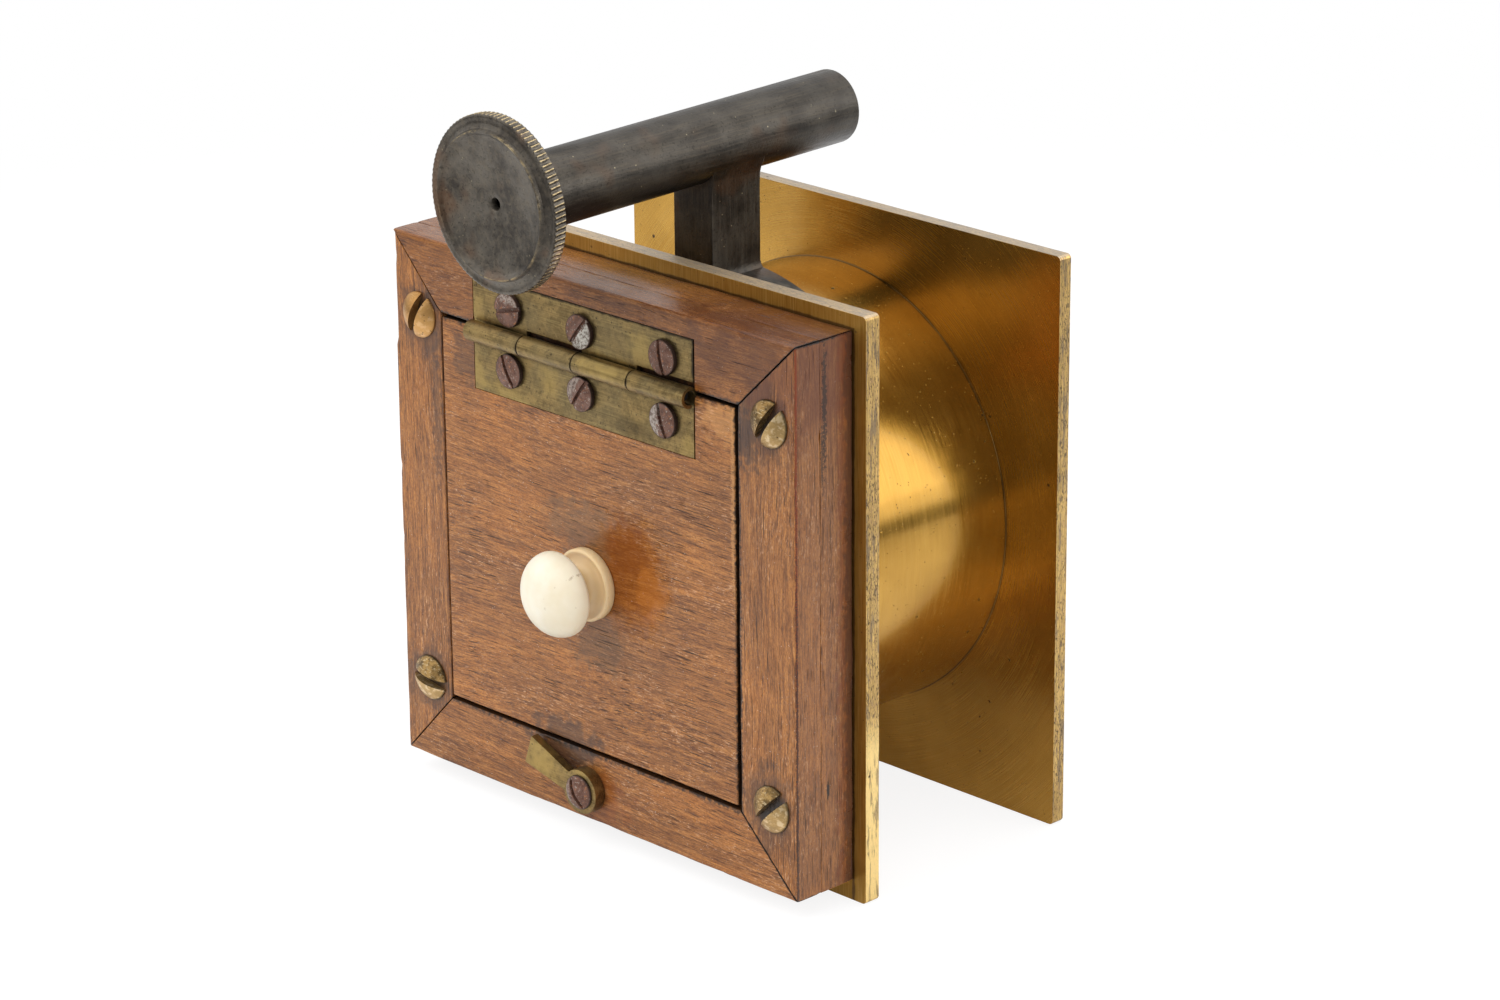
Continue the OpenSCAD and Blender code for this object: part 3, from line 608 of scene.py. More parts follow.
def plate_brass(name, brush="turned", rough=(0.12, 0.20), smear=0.35, joints=()):
    """Lacquered brass with dark pits, brushed in rings about the lens axis, turned, or brushed straight up.
    Only turned pieces have no filed edges. The straight brush is the rear plate's, which has painted shade
    in a thin line round the wooden back, and joints are the places along the lens axis where shade is
    painted in the corner."""
    s = Shader(name)
    p = s.mm
    straight, turned = brush == "straight", brush == "turned"
    if straight:
        rings = s.vec("MULTIPLY", p, (7.0, 7.0, 0.16))
        wide = s.vec("MULTIPLY", p, (1.0, 1.0, 0.05))
    else:
        off = s.vec("SUBTRACT", p, (0, 0, AXIS_Z))
        x, z = s.axis(off, "X"), s.axis(off, "Z")
        out = s.axis(off, "Y") if turned else s.hypot(x, z)
        angle = s.math("ARCTAN2", z, x)
        rings = s.join(s.times(out, 6.5 if turned else 8.5), s.times(angle, 3.0), 0.0)
        wide = s.join(s.times(out, 0.9), s.times(angle, 1.4), 0.0)
    brushed = s.noise(rings, 1.0, 2.0, 0.6)
    tarnish = s.step(s.noise(p, 0.05, 3.0, 0.6), 0.35, 0.68)
    haze = s.noise(p, 0.22, 4.0, 0.6)
    pits, dots = s.speckle(p, 2.0, 0.30), s.speckle(p, 0.6, 0.36, 40.0)
    contrast = 0.24 * (2.4 if straight else 1.0)
    colour = s.coats(
        s.mix(tarnish, (0.42, 0.220, 0.030), (0.54, 0.300, 0.052)),
        (s.line(s.noise(wide, 1.0, 3.0, 0.6), 0.35, 0.65, 0.0, 0.20), (0.34, 0.178, 0.028)),
        (s.line(brushed, 0.45, 0.72, 0.0, contrast), (0.68, 0.44, 0.13)),
        (s.line(brushed, 0.42, 0.25, 0.0, contrast), (0.22, 0.110, 0.017)),
    )
    gloss = s.add(s.spread(brushed, *rough), s.line(haze, 0.35, 0.65, 0.0, 0.04))
    if not turned:
        edge = s.step(s.face("Y"), 0.75, 0.45)
        colour = s.mix(s.times(edge, 0.95), colour, filed_edge(s, p))
        gloss = s.add(gloss, s.times(edge, 0.09))
    # a thin dark line at each joint: painted shade in the corner where the drum meets a plate
    for y in joints:
        off = s.size(s.less(s.axis(p, "Y"), y))
        off = s.add(off, s.spread(haze, -0.15, 0.15))
        colour = s.mix(s.step(off, 0.5, 0.15, 0.0, 0.8), colour, CORNER_SHADE)
    if straight:
        # a thin dark line round the wooden back: painted shade where the wood sits on the plate
        across = s.less(s.size(s.axis(p, "X")), BACK_OUTLINE[2])
        beyond = s.size(s.most(across, s.less(s.axis(p, "Z"), BACK_OUTLINE[3])))
        beyond = s.add(beyond, s.spread(haze, -0.14, 0.14))
        here = s.times(s.step(beyond, 0.45, 0.14, 0.0, 0.8), s.step(s.axis(p, "Y"), -1.1, -1.3))
        colour = s.mix(here, colour, CORNER_SHADE)
    colour = s.coats(colour, (pits, (0.05, 0.03, 0.015), 0.85), (dots, (0.08, 0.05, 0.02), 0.6))
    s.set(Base_Color=colour, Metallic=0.82 if straight else 0.92, Coat_Weight=0.2, Coat_Roughness=0.10)
    s.set(Roughness=s.add(gloss, s.times(s.most(pits, dots), 0.4)), Anisotropic=smear)
    tangent = s.node("Tangent", direction_type="RADIAL", axis="Y").outputs[0]
    s.set(Tangent=tangent, Anisotropic_Rotation=0.25)
    s.bump(brushed, 0.008, 0.15)
    s.bump(s.most(pits, dots), -0.06, 0.6)
    return s.material


def aged_brass(name, seed, bright=(), dirt_and_shade_spots=()):
    """Unlacquered brass gone olive, with scratches along X and dark spots. bright and dirt_and_shade_spots
    are (place, radius, squash, amount); the dark places are soiling and painted shade."""
    s = Shader(name)
    p = s.shifted(s.mm, seed, seed, seed)
    scratches = s.grain(p, 7.0, 0.20, 3.0, 0.65)
    mottle = s.step(s.noise(p, 0.40, 4.0, 0.7), 0.36, 0.64)
    smudge = s.step(s.noise(p, 0.13, 3.0), 0.40, 0.62)
    spots = s.speckle(p, 1.0, 0.40, 12.0)
    pocks = s.noise(s.shifted(p, 9, 4, 2), 1.7, 4.0, 0.75)
    colour = s.coats(
        s.mix(mottle, (0.150, 0.101, 0.039), (0.305, 0.207, 0.080)),
        (smudge, (0.185, 0.150, 0.080), 0.35),
        (s.line(scratches, 0.50, 0.74, 0.0, 0.45), (0.46, 0.35, 0.14)),
        (s.line(scratches, 0.44, 0.30, 0.0, 0.35), (0.060, 0.046, 0.022)),
        (s.step(pocks, 0.56, 0.66, 0.0, 0.6), (0.048, 0.036, 0.020)),
        (s.step(pocks, 0.40, 0.30, 0.0, 0.4), (0.40, 0.33, 0.17)),
    )
    for tint, places in (((0.50, 0.35, 0.11), bright), ((0.030, 0.022, 0.013), dirt_and_shade_spots)):
        for place, reach, squash, amount in places:
            off = s.add(s.near(s.mm, place, squash), s.ragged(p, 0.6, 0.35 * reach))
            colour = s.mix(s.step(off, reach * 1.15, reach * 0.1, 0.0, amount), colour, tint)
    colour = s.mix(s.times(spots, 0.75), colour, (0.035, 0.025, 0.015))
    s.set(Base_Color=colour, Metallic=0.92)
    s.set(Roughness=s.spread(s.noise(p, 0.4, 3.0), 0.30, 0.48))
    s.bump(scratches, 0.05, 0.35)
    s.bump(s.grain(p, 2.0, 0.09, 2.0, 0.6), 0.02, 0.3)
    s.bump(spots, -0.05, 0.6)
    return s.material


def painted_shade_and_rust(name, rusty=()):
    """Near-black for the slots and the hinge pin: painted shade; rusty are the (x, z) of the screws with
    rust in theirs.
    """
    s = Shader(name)
    crumbs = s.noise(s.mm, 3.0, 3.0)
    colour = s.mix(s.step(crumbs, 0.4, 0.7), (0.006, 0.005, 0.004), (0.028, 0.020, 0.013))
    for x, z in rusty:
        here = s.step(s.near(s.mm, (x, 0, z), (1, 0, 1)), 3.4, 3.0)
        rust = s.mix(s.step(crumbs, 0.4, 0.62), (0.075, 0.026, 0.010), (0.36, 0.150, 0.052))
        colour = s.mix(here, colour, rust)
    s.set(Base_Color=colour, Roughness=0.9)
    s.bump(crumbs, 0.1, 0.6)
    return s.material


def rusty_steel(name, heads):
    """Old iron screws: brown rust, side walls dark with rust and painted shade, and bare grey metal in
    places.
    heads are (middle, radius, angle of the bare side or None, how far out it starts, how bare it is)."""
    s = Shader(name)
    p = s.mm
    grainy = s.noise(p, 1.8, 4.0, 0.7)
    blotch = s.step(s.noise(p, 0.6, 3.0, 0.6), 0.4, 0.62)
    flecks = s.step(s.noise(s.shifted(p, 5, 2, 9), 2.6, 3.0, 0.7), 0.60, 0.66)
    colour = s.coats(
        s.mix(s.line(grainy, 0.3, 0.7), (0.055, 0.022, 0.014), (0.200, 0.092, 0.058)),
        (blotch, (0.215, 0.115, 0.085), 0.6),
        (s.step(grainy, 0.58, 0.70, 0.0, 0.7), (0.50, 0.20, 0.060)),
        (flecks, (0.50, 0.46, 0.40), 0.6),
    )
    bare = 0.0
    for middle, radius, angle, start, amount in heads:
        out, side = s.from_head(middle, angle or 0)
        here = s.step(out, radius + 0.6, radius + 0.4)
        # side walls darkened: rust and painted shade
        wall = s.times(here, s.step(out, radius - 0.22, radius - 0.05))
        colour = s.mix(s.times(wall, 0.85), colour, (0.020, 0.010, 0.007))
        if angle is not None:
            side = s.add(side, s.ragged(p, 1.6, 0.9, 4.0, 0.7))
            part = s.times(s.step(out, radius - 0.1, radius - 0.3), s.step(side, start, start + 0.3))
            bare = s.most(bare, s.times(part, amount))
    silver = s.mix(s.step(grainy, 0.40, 0.56), (0.20, 0.16, 0.13), (0.62, 0.59, 0.53))
    s.set(Base_Color=s.mix(bare, colour, silver), Metallic=s.line(bare, 0.0, 1.0, 0.3, 0.9))
    s.set(Roughness=s.spread(grainy, 0.40, 0.60))
    s.bump(grainy, 0.18, 0.7)
    return s.material


def screw_brass(name, halves=()):
    """Brass screw heads with tarnish and a dark rim of painted shade. halves are (middle, angle) of the
    paler half of each corner screw."""
    s = Shader(name)
    p = s.mm
    cloud = s.step(s.noise(p, 0.7, 4.0, 0.65), 0.36, 0.64)
    scuffs = s.stretched(p, (0.8, 3.0, 3.0), 4.0, 0.7, 1.2)
    spots = s.speckle(p, 0.9, 0.48, 5.0)
    dents = s.step(s.noise(p, 0.9, 2.0, 0.6), 0.50, 0.64)
    colour = s.coats(
        s.mix(cloud, (0.120, 0.072, 0.025), (0.40, 0.245, 0.085)),
        (s.step(scuffs, 0.54, 0.66, 0.0, 0.75), (0.80, 0.64, 0.38)),
    )
    r = CORNER_HEAD_R
    for middle, angle in halves:
        out, side = s.from_head(middle, angle)
        half = s.times(s.step(out, r + 0.3, r), s.step(side, -0.1, 0.1))
        # dark rim at the head's edge: painted shade
        rim = s.times(s.step(out, r + 0.6, r + 0.4), s.step(out, r - 0.30, r - 0.02))
        colour = s.coats(
            colour, (half, (0.60, 0.40, 0.17), 0.6), (s.times(half, dents), (0.88, 0.70, 0.44), 0.6),
            (rim, (0.030, 0.020, 0.010), 0.85),
        )
    if halves:
        tanned = s.step(s.near(p, ORANGE_SCREW, (1, 0, 1)), r + 0.6, r + 0.4)
        colour = s.mix(s.times(tanned, 0.6), colour, (0.62, 0.31, 0.09))
    colour = s.mix(s.times(spots, 0.8), colour, (0.045, 0.028, 0.015))
    s.set(Base_Color=colour, Metallic=0.80, Roughness=s.spread(scuffs, 0.28, 0.46))
    s.bump(scuffs, 0.05, 0.4)
    s.bump(spots, -0.06, 0.6)
    return s.material


def bone(name):
    """Turned bone: cream, with painted shade warming its right side; tan in the foot, partly painted shade
    under the cap, and darker round the neck as painted shade; with faint specks and a brown crack near the
    rim.
    """
    s = Shader(name)
    p = s.mm
    depth = s.math("MULTIPLY", s.less(s.axis(p, "Y"), WOOD_FACE), -1.0)
    foot = s.step(depth, 6.6, 4.2)
    cloud = s.noise(p, 0.25, 3.0)
    neck = s.step(s.near(p, (KNOB_X, 0, KNOB_Z), (1, 0, 1)), 4.6, 2.8)
    colour = s.coats(
        s.mix(s.line(cloud, 0.3, 0.7), (0.77, 0.69, 0.52), (0.84, 0.79, 0.66)),
        # warmer on the right: painted shade
        (s.step(s.axis(p, "X"), 0.5, 6.5), (0.78, 0.64, 0.40), 0.4),
        # tan foot, partly painted shade under the cap
        (foot, (0.76, 0.55, 0.28), 0.85),
        # darker round the neck under the cap: painted shade
        (s.times(neck, foot, 0.4), (0.42, 0.27, 0.12)),
        (s.speckle(p, 0.9, 0.36, 3.0), (0.40, 0.27, 0.15), 0.25),
    )
    for place, radius, squash, amount in (((4.6, -22.6, 49.3), 0.55, (2.2, 0.8, 0.5), 0.8),
                                          ((4.9, -21.3, 49.7), 0.45, (2.0, 0.8, 0.6), 0.9),
                                          ((1.6, -25.7, 44.3), 0.3, (1, 0.5, 0.8), 0.4)):
        off = s.blot(p, place, radius, squash, s.ragged(p, 3.0, 0.5, 3.0, 0.7))
        colour = s.mix(s.step(off, 0.9, 0.3, 0.0, amount * 0.6), colour, (0.30, 0.17, 0.055))
    s.set(Base_Color=colour, Roughness=s.spread(cloud, 0.30, 0.42), IOR=1.54)
    s.set(Subsurface_Weight=0.12, Subsurface_Radius=(0.9, 0.6, 0.35), Subsurface_Scale=0.001)
    s.bump(s.noise(p, 0.8, 3.0), 0.05, 0.2)
    return s.material


def black_bronze(name, worn=None, along=None, tone=1.0, under=None, cloudy=1.0):
    """Chemically blackened brass, brushed along an axis or not at all. worn(s, p) gives where it has rubbed
    through; tone scales its colours and cloudy the difference between its clouds. Below the height under it
    is darker, as painted shade."""
    s = Shader(name, along)
    p = s.mm

    def shade(*colour):
        return tuple(c * tone for c in colour)

    cloud = s.step(s.noise(p, 0.16, 3.0, 0.6), 0.36, 0.66)
    cloud = s.line(cloud, 0.0, 1.0, 0.5 - 0.5 * cloudy, 0.5 + 0.5 * cloudy)
    fine = s.grain(p, 6.0, 0.3, 3.0) if along else s.noise(p, 1.2, 3.0)
    grit = s.noise(p, 2.2, 2.0, 0.6)
    red = s.step(s.noise(s.shifted(p, 50, 9, 4), 0.11), 0.54, 0.68)
    colour = s.coats(
        s.mix(cloud, shade(0.042, 0.036, 0.030), shade(0.104, 0.092, 0.076)),
        (red, shade(0.135, 0.068, 0.033), 0.55 * cloudy),
        (s.line(fine, 0.45, 0.75, 0.0, 0.35), shade(0.19, 0.155, 0.11)),
        (s.step(grit, 0.45, 0.30, 0.0, 0.5), shade(0.020, 0.016, 0.013)),
        (s.speckle(p, 0.8, 0.30, 21.0), (0.40, 0.34, 0.22), 0.5),
    )
    if worn:
        colour = s.mix(worn(s, p), colour, (0.60, 0.46, 0.24))
    # darker underneath: painted shade
    if under is not None:
        low = s.step(s.axis(p, "Z"), under, under - 4.0, 0.0, 0.6)
        colour = s.mix(low, colour, shade(0.020, 0.016, 0.013))
    s.set(Base_Color=colour, Metallic=0.80, Roughness=s.spread(fine, 0.30, 0.46))
    s.bump(fine, 0.05, 0.35)
    s.bump(grit, 0.08, 0.5)
    return s.material


def clear_glass(name, tint=(0.86, 0.95, 0.93)):
    s = Shader(name)
    smear = s.line(s.noise(s.mm, 0.08, 3.0), 0.35, 0.7, 0.01, 0.06)
    s.set(Base_Color=tint, Transmission_Weight=1.0, IOR=1.5, Roughness=smear)
    return s.material


def velvet(name):
    s = Shader(name)
    nap = s.noise(s.mm, 5.0)
    s.set(Base_Color=s.mix(nap, (0.010, 0.008, 0.014), (0.035, 0.028, 0.045)))
    s.set(Roughness=0.95, Sheen_Weight=0.6)
    s.bump(nap, 0.08, 0.8)
    return s.material


# Pieces

ROUND = (1, 1, 1)
KNUCKLE_SHADE = ((0, -12.4, PIN_Z), 1.5, (0, 1, 0.45), BLACK, 0.95, 0.1)
CORNER_SCREWS = {(-40.05, 17.9): -10, (40.7, 17.9): 45, (-40.05, 81.6): 67, (40.7, 81.6): 57}
ORANGE_SCREW = (-40.05, 0, 81.6)


def on_face(x, z, *rest):
    """An entry of a list of marks, such as staining and painted shade, whose place is on the wood's face."""
    return ((x, WOOD_FACE, z), *rest)


def screw_shade_and_stains(x, z, toward):
    """Painted shade in a dark ring round a corner screw's head, and the stain about it."""
    return [on_face(x + toward, z, 6.2, (1, 1, 0.75), DARK_STAIN_AND_SHADE, 0.50, 0.35),
            on_face(x, z, CORNER_HEAD_R + 0.42, ROUND, BLACK, 0.9, 0.06)]


def mitre_seams(side):
    """The dark joints at the two ends of a member of the back."""
    ox0, oz0, ox1, oz1 = BACK_OUTLINE
    ix0, iz0, ix1, iz1 = DOORWAY
    corners = [(ox0, oz0, ix0, iz0, 0.16, 0.85), (ox1, oz0, ix1, iz0, 0.26, 0.95),
               (ox1, oz1, ix1, iz1, 0.26, 0.95), (ox0, oz1, ix0, iz1, 0.12, 0.7)]
    first = ("bottom", "right", "top", "left").index(side)
    seams = []
    for ox, oz, ix, iz, half, amount in (corners[first], corners[(first + 1) % 4]):
        length = math.hypot(ix - ox, iz - oz)
        seams.append(on_face(ox, oz, ((iz - oz) / length, 0, (ox - ix) / length), half, amount))
    return seams


def notch(at, u, v):
    """A splinter gone from the left edge above a height."""
    if at > 75.2 and u < 1.5 and v < 3.0:
        return u + 0.45 * (1 - u / 1.5), v
    return u, v


def leaf_pocket(z0, z1):
    """Cutter for the recess of a hinge leaf."""
    x0, x1 = HINGE_X0 - 0.12, HINGE_X0 + HINGE_L + 0.28
    return box("pocket_cutter", (x0, WOOD_FACE - 1, z0), (x1, WOOD_FACE + 1.02, z1))


def knuckle_pocket():
    """Cutter for the hollow behind the hinge's barrel."""
    r, reach = KNUCKLE_R + 0.3, HINGE_L + 0.3
    profile = [(0, 0), (r, 0), (r, reach), (0, reach)]
    return lathe("knuckle_cutter", profile, 48, along_hinge(HINGE_X0 - 0.15))


def make_wood():
    """Both layers of the mitred back."""
    x0, z0, x1, z1 = DOORWAY
    ox1, oz1 = BACK_OUTLINE[2:]
    edge = (1, 1, 0.004)
    sides = {
        "bottom": ("rail", "X", 0.04, [
            on_face(1.5, 8.0, 7.0, (1, 1, 1.2), RED_STAIN, 0.4, 0.4),
            on_face(-7.0, 14.6, 5.0, (0.6, 1, 1.6), DARK_STAIN_AND_SHADE, 0.75, 0.4),
            # black in the door's bottom gap and round the turn button's foot: painted shade
            ((0, WOOD_FACE + 0.7, z0), 0.95, (0, 1, 1), BLACK, 0.9, 0.3),
            on_face(BUTTON_X, BUTTON_Z, 4.2, ROUND, BLACK, 0.85, 0.08),
        ], {}),
        "right": ("stile", "Z", 0.04, [
            *screw_shade_and_stains(40.7, 17.9, -0.5), *screw_shade_and_stains(40.7, 81.6, -2.0),
            on_face(35.9, 77.6, 2.6, (1.1, 1, 0.45), DARK_STAIN_AND_SHADE, 0.6, 0.5),
            ((ox1, -5.0, oz1), 17.0, (1, 0.6, 1), (0.10, 0.026, 0.012), 0.55, 0.3),
            ((ox1, -8.0, oz1), 0.45, (1, 0, 1), BLACK, 0.95, 0.4),
            ((ox1, WOOD_BACK - 1.2, 45), 2.4, (0.2, 1, 0.01), (0.17, 0.045, 0.018), 0.5, 0.5),
            # black in the door's right gap: painted shade
            ((x1 - 0.1, WOOD_FACE + 0.3, 0), 0.75, (1, 1, 0), BLACK, 0.85, 0.4),
            ((ox1 - 0.05, WOOD_FACE + 0.2, 70), 0.26, edge, RED_EDGE, 0.8, 0.5),
            ((ox1 - 0.05, WOOD_FACE + 0.2, 15), 0.24, edge, DARK_STAIN_AND_SHADE, 0.8, 0.5),
            ((ox1, -7.8, 85.0), 0.50, (0.3, 1, 0.045), BLACK, 0.75, 0.7),
            ((ox1, -8.3, 76.0), 0.35, (0.3, 1, 0.06), BLACK, 0.6, 0.7),
            ((ox1, -7.2, 20.7), 0.35, (0.3, 1, 0.2), BLACK, 0.95, 0.2),
            ((ox1, WOOD_BACK, 0), 2.2, (0.2, 1, 0), DARK_STAIN_AND_SHADE, 0.55, 0.4),
        ], dict(pore_zones=[((46, -6, 25), 16, (1, 1, 0.5)), ((50, -7, 50), 9, (2, 1, 0.1))],
                # the side face's tint is painted shade
                turned=[("X", (0.155, 0.070, 0.036), 0.38, 0.0)])),
        "top": ("rail", "X", 0.38, [
            # black in the gap above the door: painted shade
            on_face(0, z1, 0.5, (0, 1, 1), BLACK, 0.85, 0.45), KNUCKLE_SHADE,
            ((ox1, -8.0, oz1), 0.35, (1, 0, 1), BLACK, 0.9, 0.4),
            ((36.0, -6.0, oz1), 14.0, (0.8, 1, 1), (0.055, 0.016, 0.008), 0.5, 0.4),
        # the top face's darker tint is painted shade
        ], dict(turned=[("Z", (0.075, 0.016, 0.005), 0.28, 0.06)])),
        "left": ("stile", "Z", 0.04, [
            *screw_shade_and_stains(-40.05, 17.9, 0.0), *screw_shade_and_stains(-40.05, 81.6, 1.0),
            # dark line in the door's left gap: painted shade
            on_face(x0, 0, 0.25, (1, 1, 0), DARK_STAIN_AND_SHADE, 0.5, 0.5),
            on_face(-36.9, 84.7, 2.0, (1, 1, 0.8), DARK_STAIN_AND_SHADE, 0.6, 0.4),
            on_face(-36.4, 66.0, 1.3, (1, 1, 0.09), DARK_STAIN_AND_SHADE, 0.45, 0.5),
        ], {}),
    }
    for i, (side, (kind, grain, tone, stains_and_shade, look)) in enumerate(sides.items()):
        layers = (
            ("front", "rail_wood", DOORWAY, WOOD_FACE, LAYER_SEAM, i + 1, (0.35, 0.25, 0.1, 0.06)),
            ("rear", "inner_wood", POCKET, LAYER_SEAM, WOOD_BACK, i + 7, (0.06, 0.2, 0.1, 0.3)),
        )
        for layer, slot, inner, y0, y1, seed, radii in layers:
            front = layer == "front"
            node = f"{layer}_{kind}_{side}"
            extra = notch if front and side == "left" else None
            board = mitred(node + "_board", side, inner, y0, y1, seed, radii, extra)
            if front and side == "top":
                carve(board, leaf_pocket(z1 - 1, PIN_Z + UPPER_REACH + 0.1), knuckle_pocket())
            seams = mitre_seams(side) if front else ()
            material = wood(f"walnut_{layer}_{side}", grain, i + 1.0, stains_and_shade, tone, seams=seams, **look)
            dress(board, material, "camera", slot, node)


def make_door():
    x0, z0, x1, z1 = DOOR

    def ends(u):
        return x0, x1

    def place(at, u, v):
        return Vector((at, WOOD_FACE + v, z0 + u))

    depth = DOOR_BACK - WOOD_FACE
    door = timber("door_board", z1 - z0, depth, ends, place, 11, (0.3, 0.3, 0.2, 0.2), 0.0, wear=0.08)
    carve(door, leaf_pocket(PIN_Z - LOWER_REACH - 0.1, DOORWAY[3]), knuckle_pocket())
    stains_and_shade = [
        KNUCKLE_SHADE,
        on_face(-28.5, 77.0, 4.0, (1, 1, 0.8), DARK_STAIN_AND_SHADE, 0.5, 0.4),
        on_face(-5.9, 17.2, 4.5, (0.5, 1, 1.4), DARK_STAIN_AND_SHADE, 0.65, 0.4),
        on_face(x1 - 1.5, 79.5, 3.4, (0.6, 1, 1), PALE_WEAR_AND_HIGHLIGHT, 0.45, 0.5),
        # pale line along the door's right edge: wear and a painted highlight
        on_face(x1 - 0.3, 68, 0.6, (1, 1, 0.03), PALE_WEAR_AND_HIGHLIGHT, 0.5, 0.5),
        on_face(-1.5, 54.0, 5.5, (0.6, 1, 1), (0.15, 0.085, 0.042), 0.45, 0.5),
        on_face(1.5, 35.0, 5.0, (0.7, 1, 1), (0.14, 0.080, 0.040), 0.40, 0.5),
        # black and dark lines in the gaps round the door: painted shade
        ((x1 + 0.1, WOOD_FACE + 0.85, 50), 0.95, (1, 1, 0), BLACK, 0.95, 0.25),
        ((0, WOOD_FACE + 0.8, z1), 0.95, (0, 1, 1), BLACK, 0.95, 0.25),
        on_face(x0, 50, 0.25, (1, 1, 0), DARK_STAIN_AND_SHADE, 0.5, 0.5),
        # darker, redder patch right of the knob: painted reflection of the knob in the varnish
        on_face(9.6, 49.0, 8.4, (1, 1, 0.85), (0.26, 0.070, 0.010), 0.45, 0.2),
        on_face(8.6, 53.0, 5.4, (1, 1, 0.9), (0.15, 0.034, 0.006), 0.45, 0.25),
        on_face(14.2, 46.8, 4.0, (1, 1, 0.8), (0.60, 0.200, 0.028), 0.22, 0.3),
    ]
    zones = [((30, -14, 30), 24, (0.8, 1, 0.6)), ((32, -14, 68), 12, (0.7, 1, 1))]
    # no sheen right of the knob: painted reflection of the knob
    dull = [on_face(9.8, 49.2, 9.0, (1, 1, 0.85))]
    walnut = wood("walnut_door", "X", 11.0, stains_and_shade, 0.04, zones, dull=dull)
    dress(door, walnut, "door", "door_wood", "door_panel")


def curl(s, z_near):
    """Outline of a leaf's knuckle in (y, z), from the leaf's front to its back, on the side s of the pin."""
    def bow(radius, angles):
        return [(PIN_Y + radius * c, PIN_Z - s * radius * d) for c, d in map(cos_sin, angles)]

    inner, outer = bow(KNUCKLE_BORE_R, range(290, -29, -11)), bow(KNUCKLE_R, range(0, 294, 9))
    return [(WOOD_FACE, z_near)] + inner[::-1] + outer[::-1] + [(WOOD_FACE + LEAF_T, z_near)]


def hinge_leaf(name, first, s, reach):
    """A leaf with its curled knuckles as one skin; s is 1 for the upper leaf and -1 for the lower."""
    z_near, z_far = PIN_Z + s * (KNUCKLE_R + LEAF_CUT), PIN_Z + s * reach
    length, play = HINGE_L / 4, 0.07
    verts = []

    def add(x, outline):
        start = len(verts)
        verts.extend((x, y, z) for y, z in outline)
        return list(range(start, len(verts)))

    back = WOOD_FACE + LEAF_T
    strip = [(WOOD_FACE, z_far), (WOOD_FACE, z_near), (back, z_near), (back, z_far)]
    rows = [add(HINGE_X0 + i * length, strip) for i in range(5)]
    faces = [tuple(rows[0]), tuple(reversed(rows[4]))]
    for i, (a, b) in enumerate(zip(rows, rows[1:])):
        front, near, under, far = band(a, b)
        faces += [front, under, far]
        if i % 2 != first:
            faces.append(near)
            continue
        left = add(HINGE_X0 + i * length + play, curl(s, z_near))
        right = add(HINGE_X0 + (i + 1) * length - play, curl(s, z_near))
        left[0], left[-1], right[0], right[-1] = a[1], a[2], b[1], b[2]
        faces += [tuple(left), tuple(reversed(right)), *band(left, right)[:-1]]
    leaf = new_object(name, verts, faces)
    soften(leaf, 0.10, 50)
    return leaf


def screw_head(x, y, z, radius, wall, dome, angle, width, depth):
    """A head with a low dome and a slot, facing the user; faces of the slot take the second material."""
    place = facing_user(x, y, z)
    top = wall + dome
    big = (radius ** 2 + dome ** 2) / (2 * dome)
    profile = [(0, -0.3), (radius - 0.25, -0.3), (radius - 0.05, 0.0), (radius, wall * 0.5),
               (radius - 0.04, wall)]
    for i in range(1, 11):
        r = (radius - 0.1) * (1 - i / 10)
        profile.append((r, top - (big - math.sqrt(big ** 2 - r ** 2))))
    head = lathe("head", profile, 56, place)
    c, d = cos_sin(angle)
    along, across = Vector((c, d, 0)), Vector((-d, c, 0))
    reach, half = radius + 1, width / 2
    corners = [place(along * i * reach + across * j * half + Vector((0, 0, k)))
               for i in (-1, 1) for j in (-1, 1) for k in (top - depth, top + 1)]
    carve(head, new_object("slot", corners, BOX_FACES))
    middle = place(Vector((0, 0, 0)))
    for polygon in head.data.polygons:
        q = polygon.center / MM - middle
        side = abs(q.z * c - q.x * d)
        inside = side < half + 0.01 and math.hypot(q.x, q.z) < radius + 0.1 and -q.y > -0.25
        flat = abs(polygon.normal.z * c - polygon.normal.x * d) > 0.98
        if inside and (flat or side < half - 0.02):
            polygon.material_index = 1
    return head


